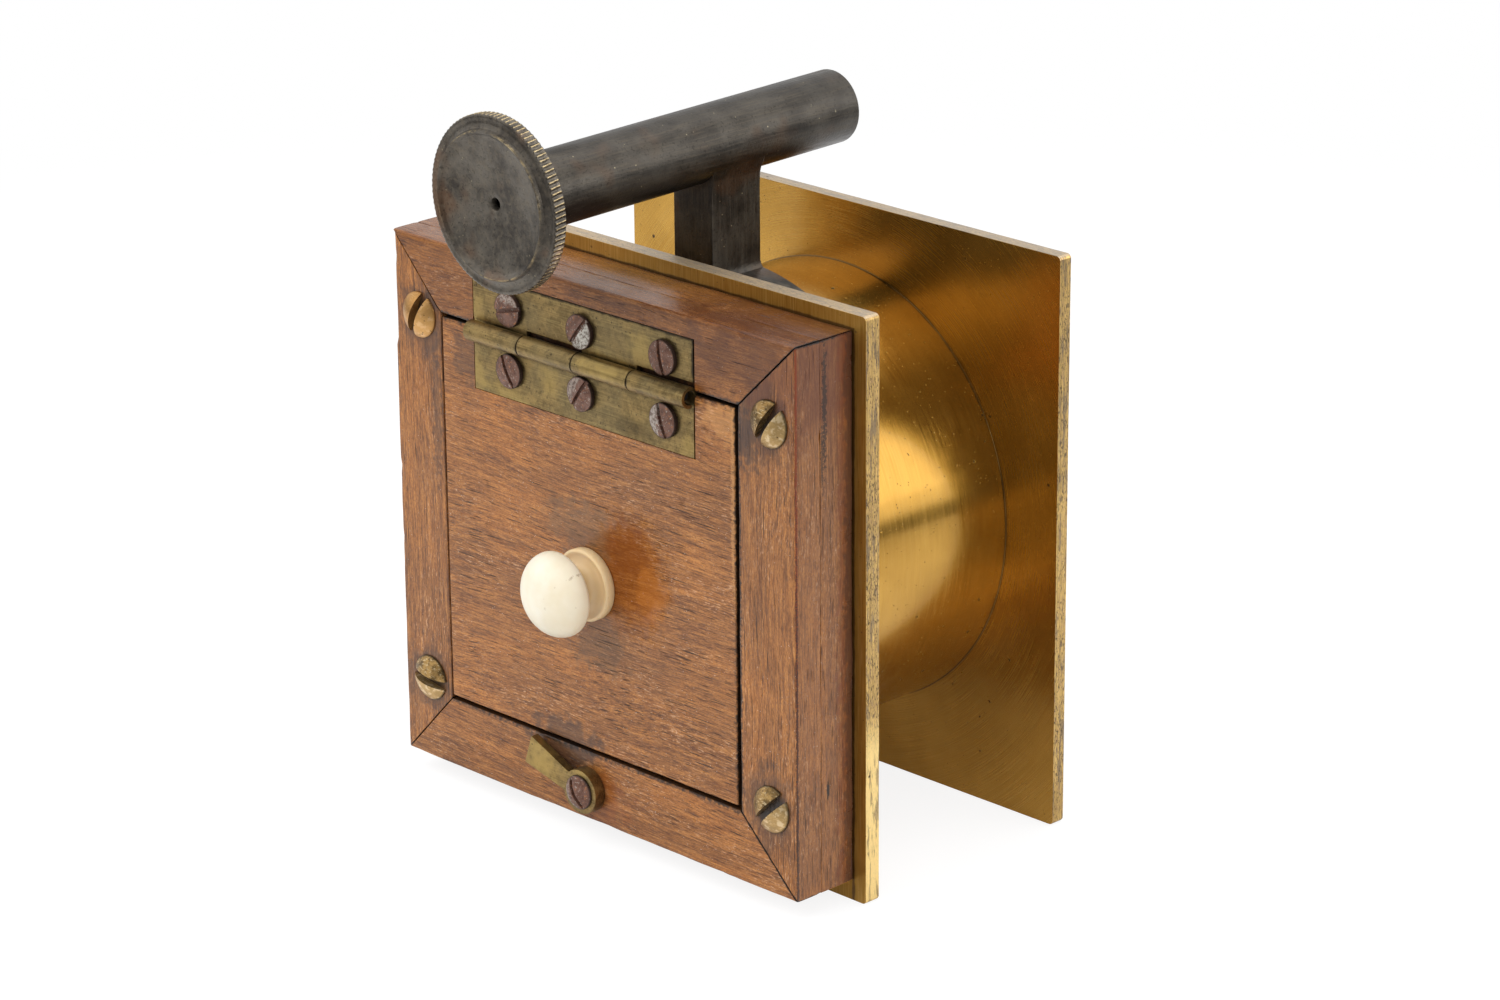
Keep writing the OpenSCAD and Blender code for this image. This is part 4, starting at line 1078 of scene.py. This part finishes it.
def make_hinge():
    """Each leaf is given with its first knuckle, its side of the pin and reach, its seed, bright places and
    dark places (soiling, and painted shade at the leaf's edges, under the barrel and in its open end), then
    its row of screws: their height, slot angles, bare sides and which slots are rusty."""
    end = HINGE_X0 + HINGE_L
    none = (None, 0, 0)
    leaves = (
        ("upper", "camera", 0, 1, UPPER_REACH, 3.0,
         [on_face(12.5, 87.0, 3.4, (1, 1, 0.8), 0.38), on_face(-25.5, 84, 1.8, (1, 1, 0.3), 0.35),
          ((6.0, -16.0, 82.9), 7.0, (0.8, 1, 3), 0.5)],
         # dark lines at the leaf's edges and the barrel's open end: painted shade
         [on_face(0, PIN_Z + UPPER_REACH, 0.45, (0, 1, 1), 0.95), on_face(end, 85, 0.5, (1, 1, 0), 0.95),
          ((end + 0.3, PIN_Y, PIN_Z), 0.5, (1, 0, 0), 0.8)],
         87.2, (14, 52, -78), ((80, 1.3, 0.45), (-38, 0.1, 1.0), none), (0, 1)),
        ("lower", "door", 1, -1, LOWER_REACH, 17.0,
         [on_face(-26.0, 75.0, 3.6, (1.6, 1, 0.8), 0.45), on_face(-19, 72.8, 4.2, (0.6, 1, 2), 0.35),
          on_face(-9, 77.5, 3.2, ROUND, 0.35), on_face(23, 73.5, 2.8, ROUND, 0.35)],
         # a dark line under the barrel, which is painted shade, and a soiled patch
         [on_face(0, PIN_Z - 2.0, 0.7, (0, 1, 1), 0.6), on_face(10, 73.6, 3.6, (0.5, 1, 1.4), 0.45)],
         76.9, (-62, 55, -72), (none, (150, 0.9, 0.4), (185, 0.5, 0.6)), (1,)),
    )
    # painted shade in the gaps between the knuckles
    gaps = [((HINGE_X0 + HINGE_L * k / 4, PIN_Y, PIN_Z), 0.34, (1, 0, 0.13), 0.95) for k in (1, 2, 3)]
    for row, body, first, s, reach, seed, gold, dirt_and_shade, z, slots, bare, rusty in leaves:
        leaf = hinge_leaf(f"hinge_{row}_leaf", first, s, reach)
        # painted shade round each screw head
        dirt_and_shade = gaps + [on_face(x, z, 3.2, ROUND, 0.8) for x in LEAF_SCREW_X] + dirt_and_shade
        brass = aged_brass("olive_brass_" + row, seed, gold, dirt_and_shade)
        dress(leaf, brass, body, "hinge_brass", "hinge_leaf_" + row, sharp=40)
        heads = [screw_head(x, WOOD_FACE, z, LEAF_HEAD_R, 0.7, 0.4, a, 0.72, 0.7)
                 for x, a in zip(LEAF_SCREW_X, slots)]
        screws = join("hinge_screw_heads_" + row, heads)
        marks = [on_face(x, z, LEAF_HEAD_R, *b) for x, b in zip(LEAF_SCREW_X, bare)]
        slot_shade = painted_shade_and_rust("slots_" + row, [(LEAF_SCREW_X[k], z) for k in rusty])
        look = [rusty_steel("rust_" + row, marks), slot_shade]
        dress(screws, look, body, "rusty_steel", "hinge_screws_" + row, sharp=28)
    reach = HINGE_L - 2.4
    end_r = PIN_R - 0.1
    profile = [(0, 0), (end_r, 0), (PIN_R, 0.12), (PIN_R, reach - 0.12), (end_r, reach), (0, reach)]
    pin = lathe("hinge_wire_pin", profile, 24, along_hinge(HINGE_X0 + 1.2))
    dress(pin, painted_shade_and_rust("pin_shade"), "camera", "hinge_brass", "hinge_pin")


def make_corner_screws():
    heads = [screw_head(x, WOOD_FACE, z, CORNER_HEAD_R, 0.25, 1.5, a, 1.5, 1.95)
             for (x, z), a in CORNER_SCREWS.items()]
    halves = [on_face(x, z, a - 90) for (x, z), a in CORNER_SCREWS.items()]
    look = [screw_brass("tarnished_screw_brass", halves), painted_shade_and_rust("slots_corner")]
    dress(join("corner_screw_heads", heads), look, "camera", "screw_brass", "corner_screws", sharp=30)


def make_knob():
    """Foot with a rounded lip and a dished face, neck, and a domed cap."""
    cap_r, rim, rise = 7.1, 7.0, 4.8
    profile = [
        (0, 0), (5.8, 0), (6.05, 0.25), (6.05, 1.45), (5.93, 1.75), (5.7, 1.9), (5.45, 1.85), (5.2, 1.65),
        (4.7, 1.45), (3.8, 1.4), (3.2, 1.75), (2.85, 2.5), (2.8, 3.6), (3.0, 4.5), (3.7, 5.2), (4.8, 5.65),
        (6.0, 6.0), (6.7, 6.25), (7.02, 6.6), (cap_r, rim),
    ]
    profile += [(cap_r * c, rim + rise * s) for c, s in map(cos_sin, range(8, 90, 7))] + [(0, rim + rise)]
    knob = lathe("bone_knob", profile, 96, facing_user(KNOB_X, WOOD_FACE, KNOB_Z))
    dress(knob, bone("turned_bone"), "door", "bone", "door_knob", sharp=60, weighted=False)


def make_turn_button():
    """Boss and flaring arm cut from one strip, and the screw that it turns on."""
    boss_r, arm_t, arm_l, tip_w, root_w = 3.8, 1.5, 12.95, 5.3, 3.7
    c, s = cos_sin(161.6)
    along, across = Vector((c, s)), Vector((-s, c))
    start = math.degrees(math.atan2(root_w / 2, math.sqrt(boss_r ** 2 - (root_w / 2) ** 2)))
    round_part = arc(0, 0, boss_r, start, 360 - start, 44)
    outline = [(arm_l, -tip_w / 2), (arm_l, tip_w / 2)] + round_part
    verts = []

    def add(points, level):
        first = len(verts)
        for u, v in points:
            q = along * u + across * v
            verts.append((BUTTON_X + q.x, WOOD_FACE - level, BUTTON_Z + q.y))
        return list(range(first, len(verts)))

    top, under, foot = add(outline, BUTTON_T), add(outline, BUTTON_T - arm_t), add(round_part, 0.0)
    arm = (under[0], under[1], under[2], under[-1])
    faces = [tuple(top), *band(top, under), arm, *band(under[2:], foot), tuple(reversed(foot))]
    button = new_object("brass_turn_button", verts, faces)
    soften(button, 0.16, 40)
    shine = [((-10.5, -16.3, 12.0), 5.5, ROUND, 0.6), ((-1.5, -16.3, 12.6), 1.6, (0.5, 1, 1), 0.5)]
    brass = aged_brass("button_brass", 41.0, shine)
    dress(button, brass, "turn_button", "hinge_brass", "turn_button", sharp=40)
    middle = (BUTTON_X, WOOD_FACE - BUTTON_T, BUTTON_Z)
    head = screw_head(*middle, LEAF_HEAD_R, 0.3, 1.1, -58, 0.75, 1.0)
    head.name = "turn_button_screw_head"
    rust = rusty_steel("rust_button", [(middle, LEAF_HEAD_R, 200, 1.2, 0.35)])
    dress(head, [rust, painted_shade_and_rust("slot_button")], "camera", "rusty_steel", "turn_button_screw", sharp=28)


def plate(name, y0, y1, opening, material, node):
    """A brass plate with filed corners and slightly uneven edges."""
    r, w, h, count = 0.8, PLATE_HALF_W, PLATE_H, 48
    outline = []
    for cx, cz, start, nx, nz in ((w - r, r, 270, w, h - r), (w - r, h - r, 0, -w + r, h),
                                  (-w + r, h - r, 90, -w, r), (-w + r, r, 180, w - r, 0)):
        outline += arc(cx, cz, r, start, start + 90, 6)
        lx, lz = outline[-1]
        outline += [(lx + (nx - lx) * i / count, lz + (nz - lz) * i / count) for i in range(1, count)]
    points = []
    for x, z in outline:
        uneven = abs(0.05 * noise.noise(Vector((x * 0.12, z * 0.12, y0))))
        towards = Vector((-x, 0, AXIS_Z - z)).normalized()
        points.append((x + towards.x * uneven, z + towards.z * uneven))
    obj = skin(name, [[(x, y, z) for x, z in points] for y in (y0, y1)])
    soften(obj, 0.14, 60)
    carve(obj, opening)
    dress(obj, material, "camera", "plate_brass", node, sharp=50)


def make_plates():
    half, r = OPENING_HALF, LENS_HOLE_R
    opening = box("opening", (-half, -3, AXIS_Z - half), (half, 3, AXIS_Z + half))
    rear = plate_brass("rear_plate_brass", "straight", (0.30, 0.42), 0.0)
    plate("rear_brass_plate", *REAR_PLATE, opening, rear, "rear_plate")
    hole = lathe("hole", [(0, -6), (r, -6), (r, 6), (0, 6)], 96, on_lens_axis(44))
    front = plate_brass("front_plate_brass", "rings", (0.18, 0.27))
    plate("front_brass_plate", *FRONT_PLATE, hole, front, "front_plate")


def make_drum():
    """Drum with a small fillet of solder at each plate."""
    length, f, bore = FRONT_PLATE[0] - REAR_PLATE[1], 0.15, DRUM_R - DRUM_WALL
    foot = [(DRUM_R + f * (1 - s), f * (1 - c)) for c, s in map(cos_sin, range(0, 91, 30))]
    profile = foot + [(r, length - z) for r, z in reversed(foot)] + [(bore, length), (bore, 0)]
    drum = lathe("brass_drum", profile, 192, on_lens_axis(REAR_PLATE[1]))
    brass = plate_brass("drum_brass", "turned", (0.13, 0.21), 0.6, (FRONT_PLATE[0], REAR_PLATE[1]))
    dress(drum, brass, "camera", "plate_brass", "drum", sharp=40)


def disc_worn(s, p):
    """Where the disc has rubbed bright: on the crests of its milling and on its lip."""
    off = s.vec("SUBTRACT", p, (0, POST_Y, SIGHT_Z))
    c, d = math.cos(SIGHT_TILT), math.sin(SIGHT_TILT)
    height = s.add(s.times(s.axis(off, "Y"), -d), s.times(s.axis(off, "Z"), c))
    radius = s.hypot(s.axis(off, "X"), height)
    crest = s.times(s.step(radius, DISC_R - 0.16, DISC_R - 0.04),
                    s.line(s.noise(p, 1.4, 3.0), 0.25, 0.6, 0.4, 0.9))
    lip = s.times(s.step(s.size(s.less(radius, 11.75)), 0.24, 0.06),
                  s.step(s.noise(p, 0.22, 3.0), 0.44, 0.60), s.line(s.noise(p, 1.5, 3.0), 0.35, 0.6))
    return s.most(crest, s.times(lip, 0.6))


def make_disc():
    """Eyepiece with a milled edge, a coved rim, a raised lip and a shallow dish with the peephole."""
    t, rise, dish_r, hole_r = 2.35, 1.05, 10.95, 1.0
    spigot = [(hole_r, 0.6), (4.25, 0.6), (4.25, -10.0), (5.05, -10.0), (5.05, 0.02)]
    edge = [(13.9, 0.02), (14.18, 0.10), (DISC_R, 0.35), (DISC_R, 0.9), (DISC_R, 1.45), (DISC_R, 2.0),
            (14.18, 2.26), (13.9, 2.37)]
    face = [(13.55, t - 0.02), (13.1, t - 0.10), (12.6, t + 0.02), (12.3, t + 0.20), (12.15, t + 0.24),
            (12.05, t + 0.36), (11.95, t + 0.74), (11.75, t + rise), (11.45, t + rise - 0.04),
            (11.2, t + 0.62), (dish_r, t + 0.48)]
    dish = [(r, t + 0.48 - 1.0 * (1 - (r / dish_r) ** 2.4))
            for r in (10.5, 10.0, 9.2, 8.0, 6.5, 5.0, 3.5, 2.0, 1.15)]
    rim = {6: 0.25, 7: 0.8, 8: 1.0, 9: 1.0, 10: 0.8, 11: 0.25}

    def milled(i, a, r, z):
        if i not in rim:
            return r
        groove = 0.5 - 0.5 * math.cos(KNURLS * a + z * 0.9)
        return r - KNURL_DEPTH * rim[i] * groove ** 0.6

    profile = spigot + edge + face + dish + [(hole_r, t - 0.64)]
    disc = lathe("eyepiece", profile, KNURLS * 8, on_sight(SIGHT_BACK), milled)
    brass = black_bronze("blackened_disc", disc_worn, tone=1.34)
    dress(disc, brass, "eyepiece", "black_brass", "eyepiece_disc", sharp=55, weighted=False)


def make_tube():
    bore = SIGHT_R - 1.0
    profile = [(bore, 0.15), (bore + 0.15, 0), (SIGHT_R - 0.3, 0), (SIGHT_R - 0.08, 0.08), (SIGHT_R, 0.3),
               (SIGHT_R, SIGHT_L * 0.25), (SIGHT_R, SIGHT_L * 0.5), (SIGHT_R, SIGHT_L * 0.75),
               (SIGHT_R, SIGHT_L - 0.3), (SIGHT_R - 0.2, SIGHT_L), (bore, SIGHT_L)]
    tube = lathe("sighting_tube", profile, 96, on_sight(SIGHT_BACK - SIGHT_L))
    brass = black_bronze("blackened_tube", along="Y", tone=0.68, under=SIGHT_Z - 0.5, cloudy=0.55)
    dress(tube, brass, "camera", "black_brass", "finder_tube", sharp=40, weighted=False)


def make_post():
    """Post with fillets of solder under the tube and where it meets the saddle."""
    hx, y0, y1, per_side = 4.4, 9.55, 20.35, 8
    levels = [(90.6, 1.2), (91.4, 0.55), (92.0, 0.2), (92.8, 0.0), (95.0, 0.0), (100.0, 0.0), (104.6, 0.0)]

    def outline(grow):
        x, low, high = hx + grow, y0 - grow * 0.3, y1 + grow * 0.3
        c = [(-x, low), (x, low), (x, high), (-x, high)]
        return [(xa + (xb - xa) * k / per_side, ya + (yb - ya) * k / per_side)
                for (xa, ya), (xb, yb) in zip(c, c[1:] + c[:1]) for k in range(per_side)]

    def tube_under(x):
        return SIGHT_Z - math.sqrt(max(SIGHT_R ** 2 - min(abs(x), 5.9) ** 2, 0.2))

    rows = [[(x, y, z) for x, y in outline(grow)] for z, grow in levels]
    rows += [[(x, y, tube_under(x) - share) for x, y in outline(grow)]
             for share, grow in ((1.5, 0.06), (0.7, 0.30), (0.15, 0.75), (-0.25, 1.15))]
    post = skin("sight_post", rows, -1)
    soften(post, 0.25, 60)
    dress(post, black_bronze("blackened_post", along="Z", tone=0.55), "camera", "black_brass", "finder_post",
          sharp=50)


def paint_cad_nodes():
    """Materials of the pieces that keep their CAD shape."""
    names = ("lens_flange", "lens_barrel", "lens_retaining_ring", "lens_hood", "lens_cap", "flange_screws")
    looks = dict.fromkeys(names, plate_brass("inner_brass"))
    for node in ("saddle_screws", "spring_screws"):
        looks[node] = screw_brass("small_" + node)
    for node in ("lens_crown", "lens_flint"):
        looks[node] = clear_glass("lens_glass_" + node, (0.95, 0.97, 0.96))
    looks.update(
        finder_saddle=black_bronze("blackened_saddle"), aperture_stop=black_bronze("blackened_stop"),
        pressure_springs=aged_brass("spring_brass", 55.0),
        plate_corners=aged_brass("silvered_corners", 66.0),
        knob_screw=rusty_steel("rust_knob", []), glass_plate=clear_glass("plate_glass"),
        cap_lining=velvet("velvet_lining"),
    )
    for node, material in looks.items():
        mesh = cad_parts[node].data
        mesh.materials.clear()
        mesh.materials.append(material)
        for polygon in mesh.polygons:
            polygon.material_index = 0


# Stage

CAMERA_PLACE = Vector((0.538419, -0.509963, 0.319135))
CAMERA_TURN = Matrix((
    (0.7046719, -0.23247919, 0.67036627),
    (0.70948995, 0.24131728, -0.66211025),
    (-0.00784411, 0.94218862, 0.33499115),
))
SENSOR_W, FOCAL_LENGTH = 36.0, 116.894
FLOOR_R, FLOOR_STEPS = 480.0, 96
AIM = Vector((0, 0.01, 0.05))


def make_camera():
    data = bpy.data.cameras.new("photo_view")
    data.sensor_width = SENSOR_W
    data.lens = FOCAL_LENGTH
    camera = link("photo_view", data)
    camera.matrix_world = Matrix.Translation(CAMERA_PLACE) @ CAMERA_TURN.to_4x4()
    bpy.context.scene.camera = camera


def make_world():
    """White to the camera. Reflections see a white studio too, with a darker room behind the photograph's
    camera and above, and a brighter side to its right."""
    world = bpy.data.worlds.new("studio")
    world.use_nodes = True
    bpy.context.scene.world = world
    s = Nodes(world.node_tree)
    back = s.tree.nodes["Background"]
    direction = s.coordinates("Generated")
    height = s.axis(direction, "Z")
    user, beside = s.diagonals(direction)
    seen = s.times(
        s.step(height, -0.05, 0.015, 0.15, 1.0), s.step(height, 0.74, 0.96, 1.1, 0.35),
        s.step(user, -0.9, -0.4, 0.7, 1.0), s.step(user, 0.42, 0.78, 1.12, 0.20),
        s.step(beside, 0.60, 0.90, 1.0, 1.5),
    )
    reflected = s.seen_ray()
    ambient = s.times(s.less(1.0, reflected), 0.62)
    level = s.add(s.times(s.most(seen, s.ray("Camera")), reflected), ambient)
    s.put(back.inputs["Color"], (1.0, 1.0, 1.0))
    s.put(back.inputs["Strength"], level)


def make_floor():
    """Pale floor, white to the camera except where the object shades it; mirrored, it is darker in front."""
    rim = [2 * math.pi * k / FLOOR_STEPS for k in range(FLOOR_STEPS)]
    verts = [(0, 0, 0)] + [(FLOOR_R * math.cos(a), FLOOR_R * math.sin(a), 0) for a in rim]
    faces = [(0, 1 + k, 1 + (k + 1) % FLOOR_STEPS) for k in range(FLOOR_STEPS)]
    floor = new_object("floor", verts, faces)
    material = bpy.data.materials.new("pale_floor")
    material.use_nodes = True
    s = Nodes(material.node_tree)
    s.tree.nodes.clear()
    camera = s.ray("Camera")
    place = s.coordinates("Object")
    in_front = s.times(s.step(s.diagonals(place)[0], 0.03, 0.10, 0.0, 0.50), s.ray("Glossy"))
    shade = s.less(s.less(0.80, s.times(camera, 0.62)), in_front)
    lift = s.add(s.times(camera, 0.76), s.times(s.seen_ray(), 0.10))
    diffuse, glow = s.node("BsdfDiffuse", shade), s.node("Emission", None, lift)
    near = s.node("AddShader", diffuse.outputs[0], glow.outputs[0])
    white = s.node("Emission", None, s.seen_ray())
    fade = s.step(s.vec("LENGTH", place), 0.16, 0.45)
    s.node("OutputMaterial", s.node("MixShader", fade, near.outputs[0], white.outputs[0]).outputs[0])
    floor.data.materials.append(material)


def lamp(name, place, size, power, height=None, mirrored=True):
    data = bpy.data.lights.new(name, "AREA")
    data.shape = "RECTANGLE" if height else "DISK"
    data.size = size
    if height:
        data.size_y = height
    data.energy = power
    light = link(name, data)
    light.location = place
    light.visible_glossy = mirrored
    light.rotation_euler = (AIM - Vector(place)).to_track_quat("-Z", "Y").to_euler()


def make_lights():
    lamp("key", (-0.40, -0.66, 0.88), 1.0, 9.0, mirrored=False)
    lamp("fill", (1.15, 0.05, 0.42), 0.8, 3.4, 0.5)
    lamp("wall", (0.85, 0.80, 0.48), 1.2, 2.0, 0.65)
    lamp("top", (0.05, 0.25, 0.95), 0.8, 4.0)
    lamp("front", (0.44, -0.63, 0.53), 0.28, 0.6, mirrored=False)


for make in (make_camera, make_world, make_floor, make_lights, make_wood, make_door, make_hinge,
             make_corner_screws, make_knob, make_turn_button, make_plates, make_drum, make_disc, make_tube,
             make_post, paint_cad_nodes):
    make()
bpy.context.scene.view_settings.view_transform = "Standard"
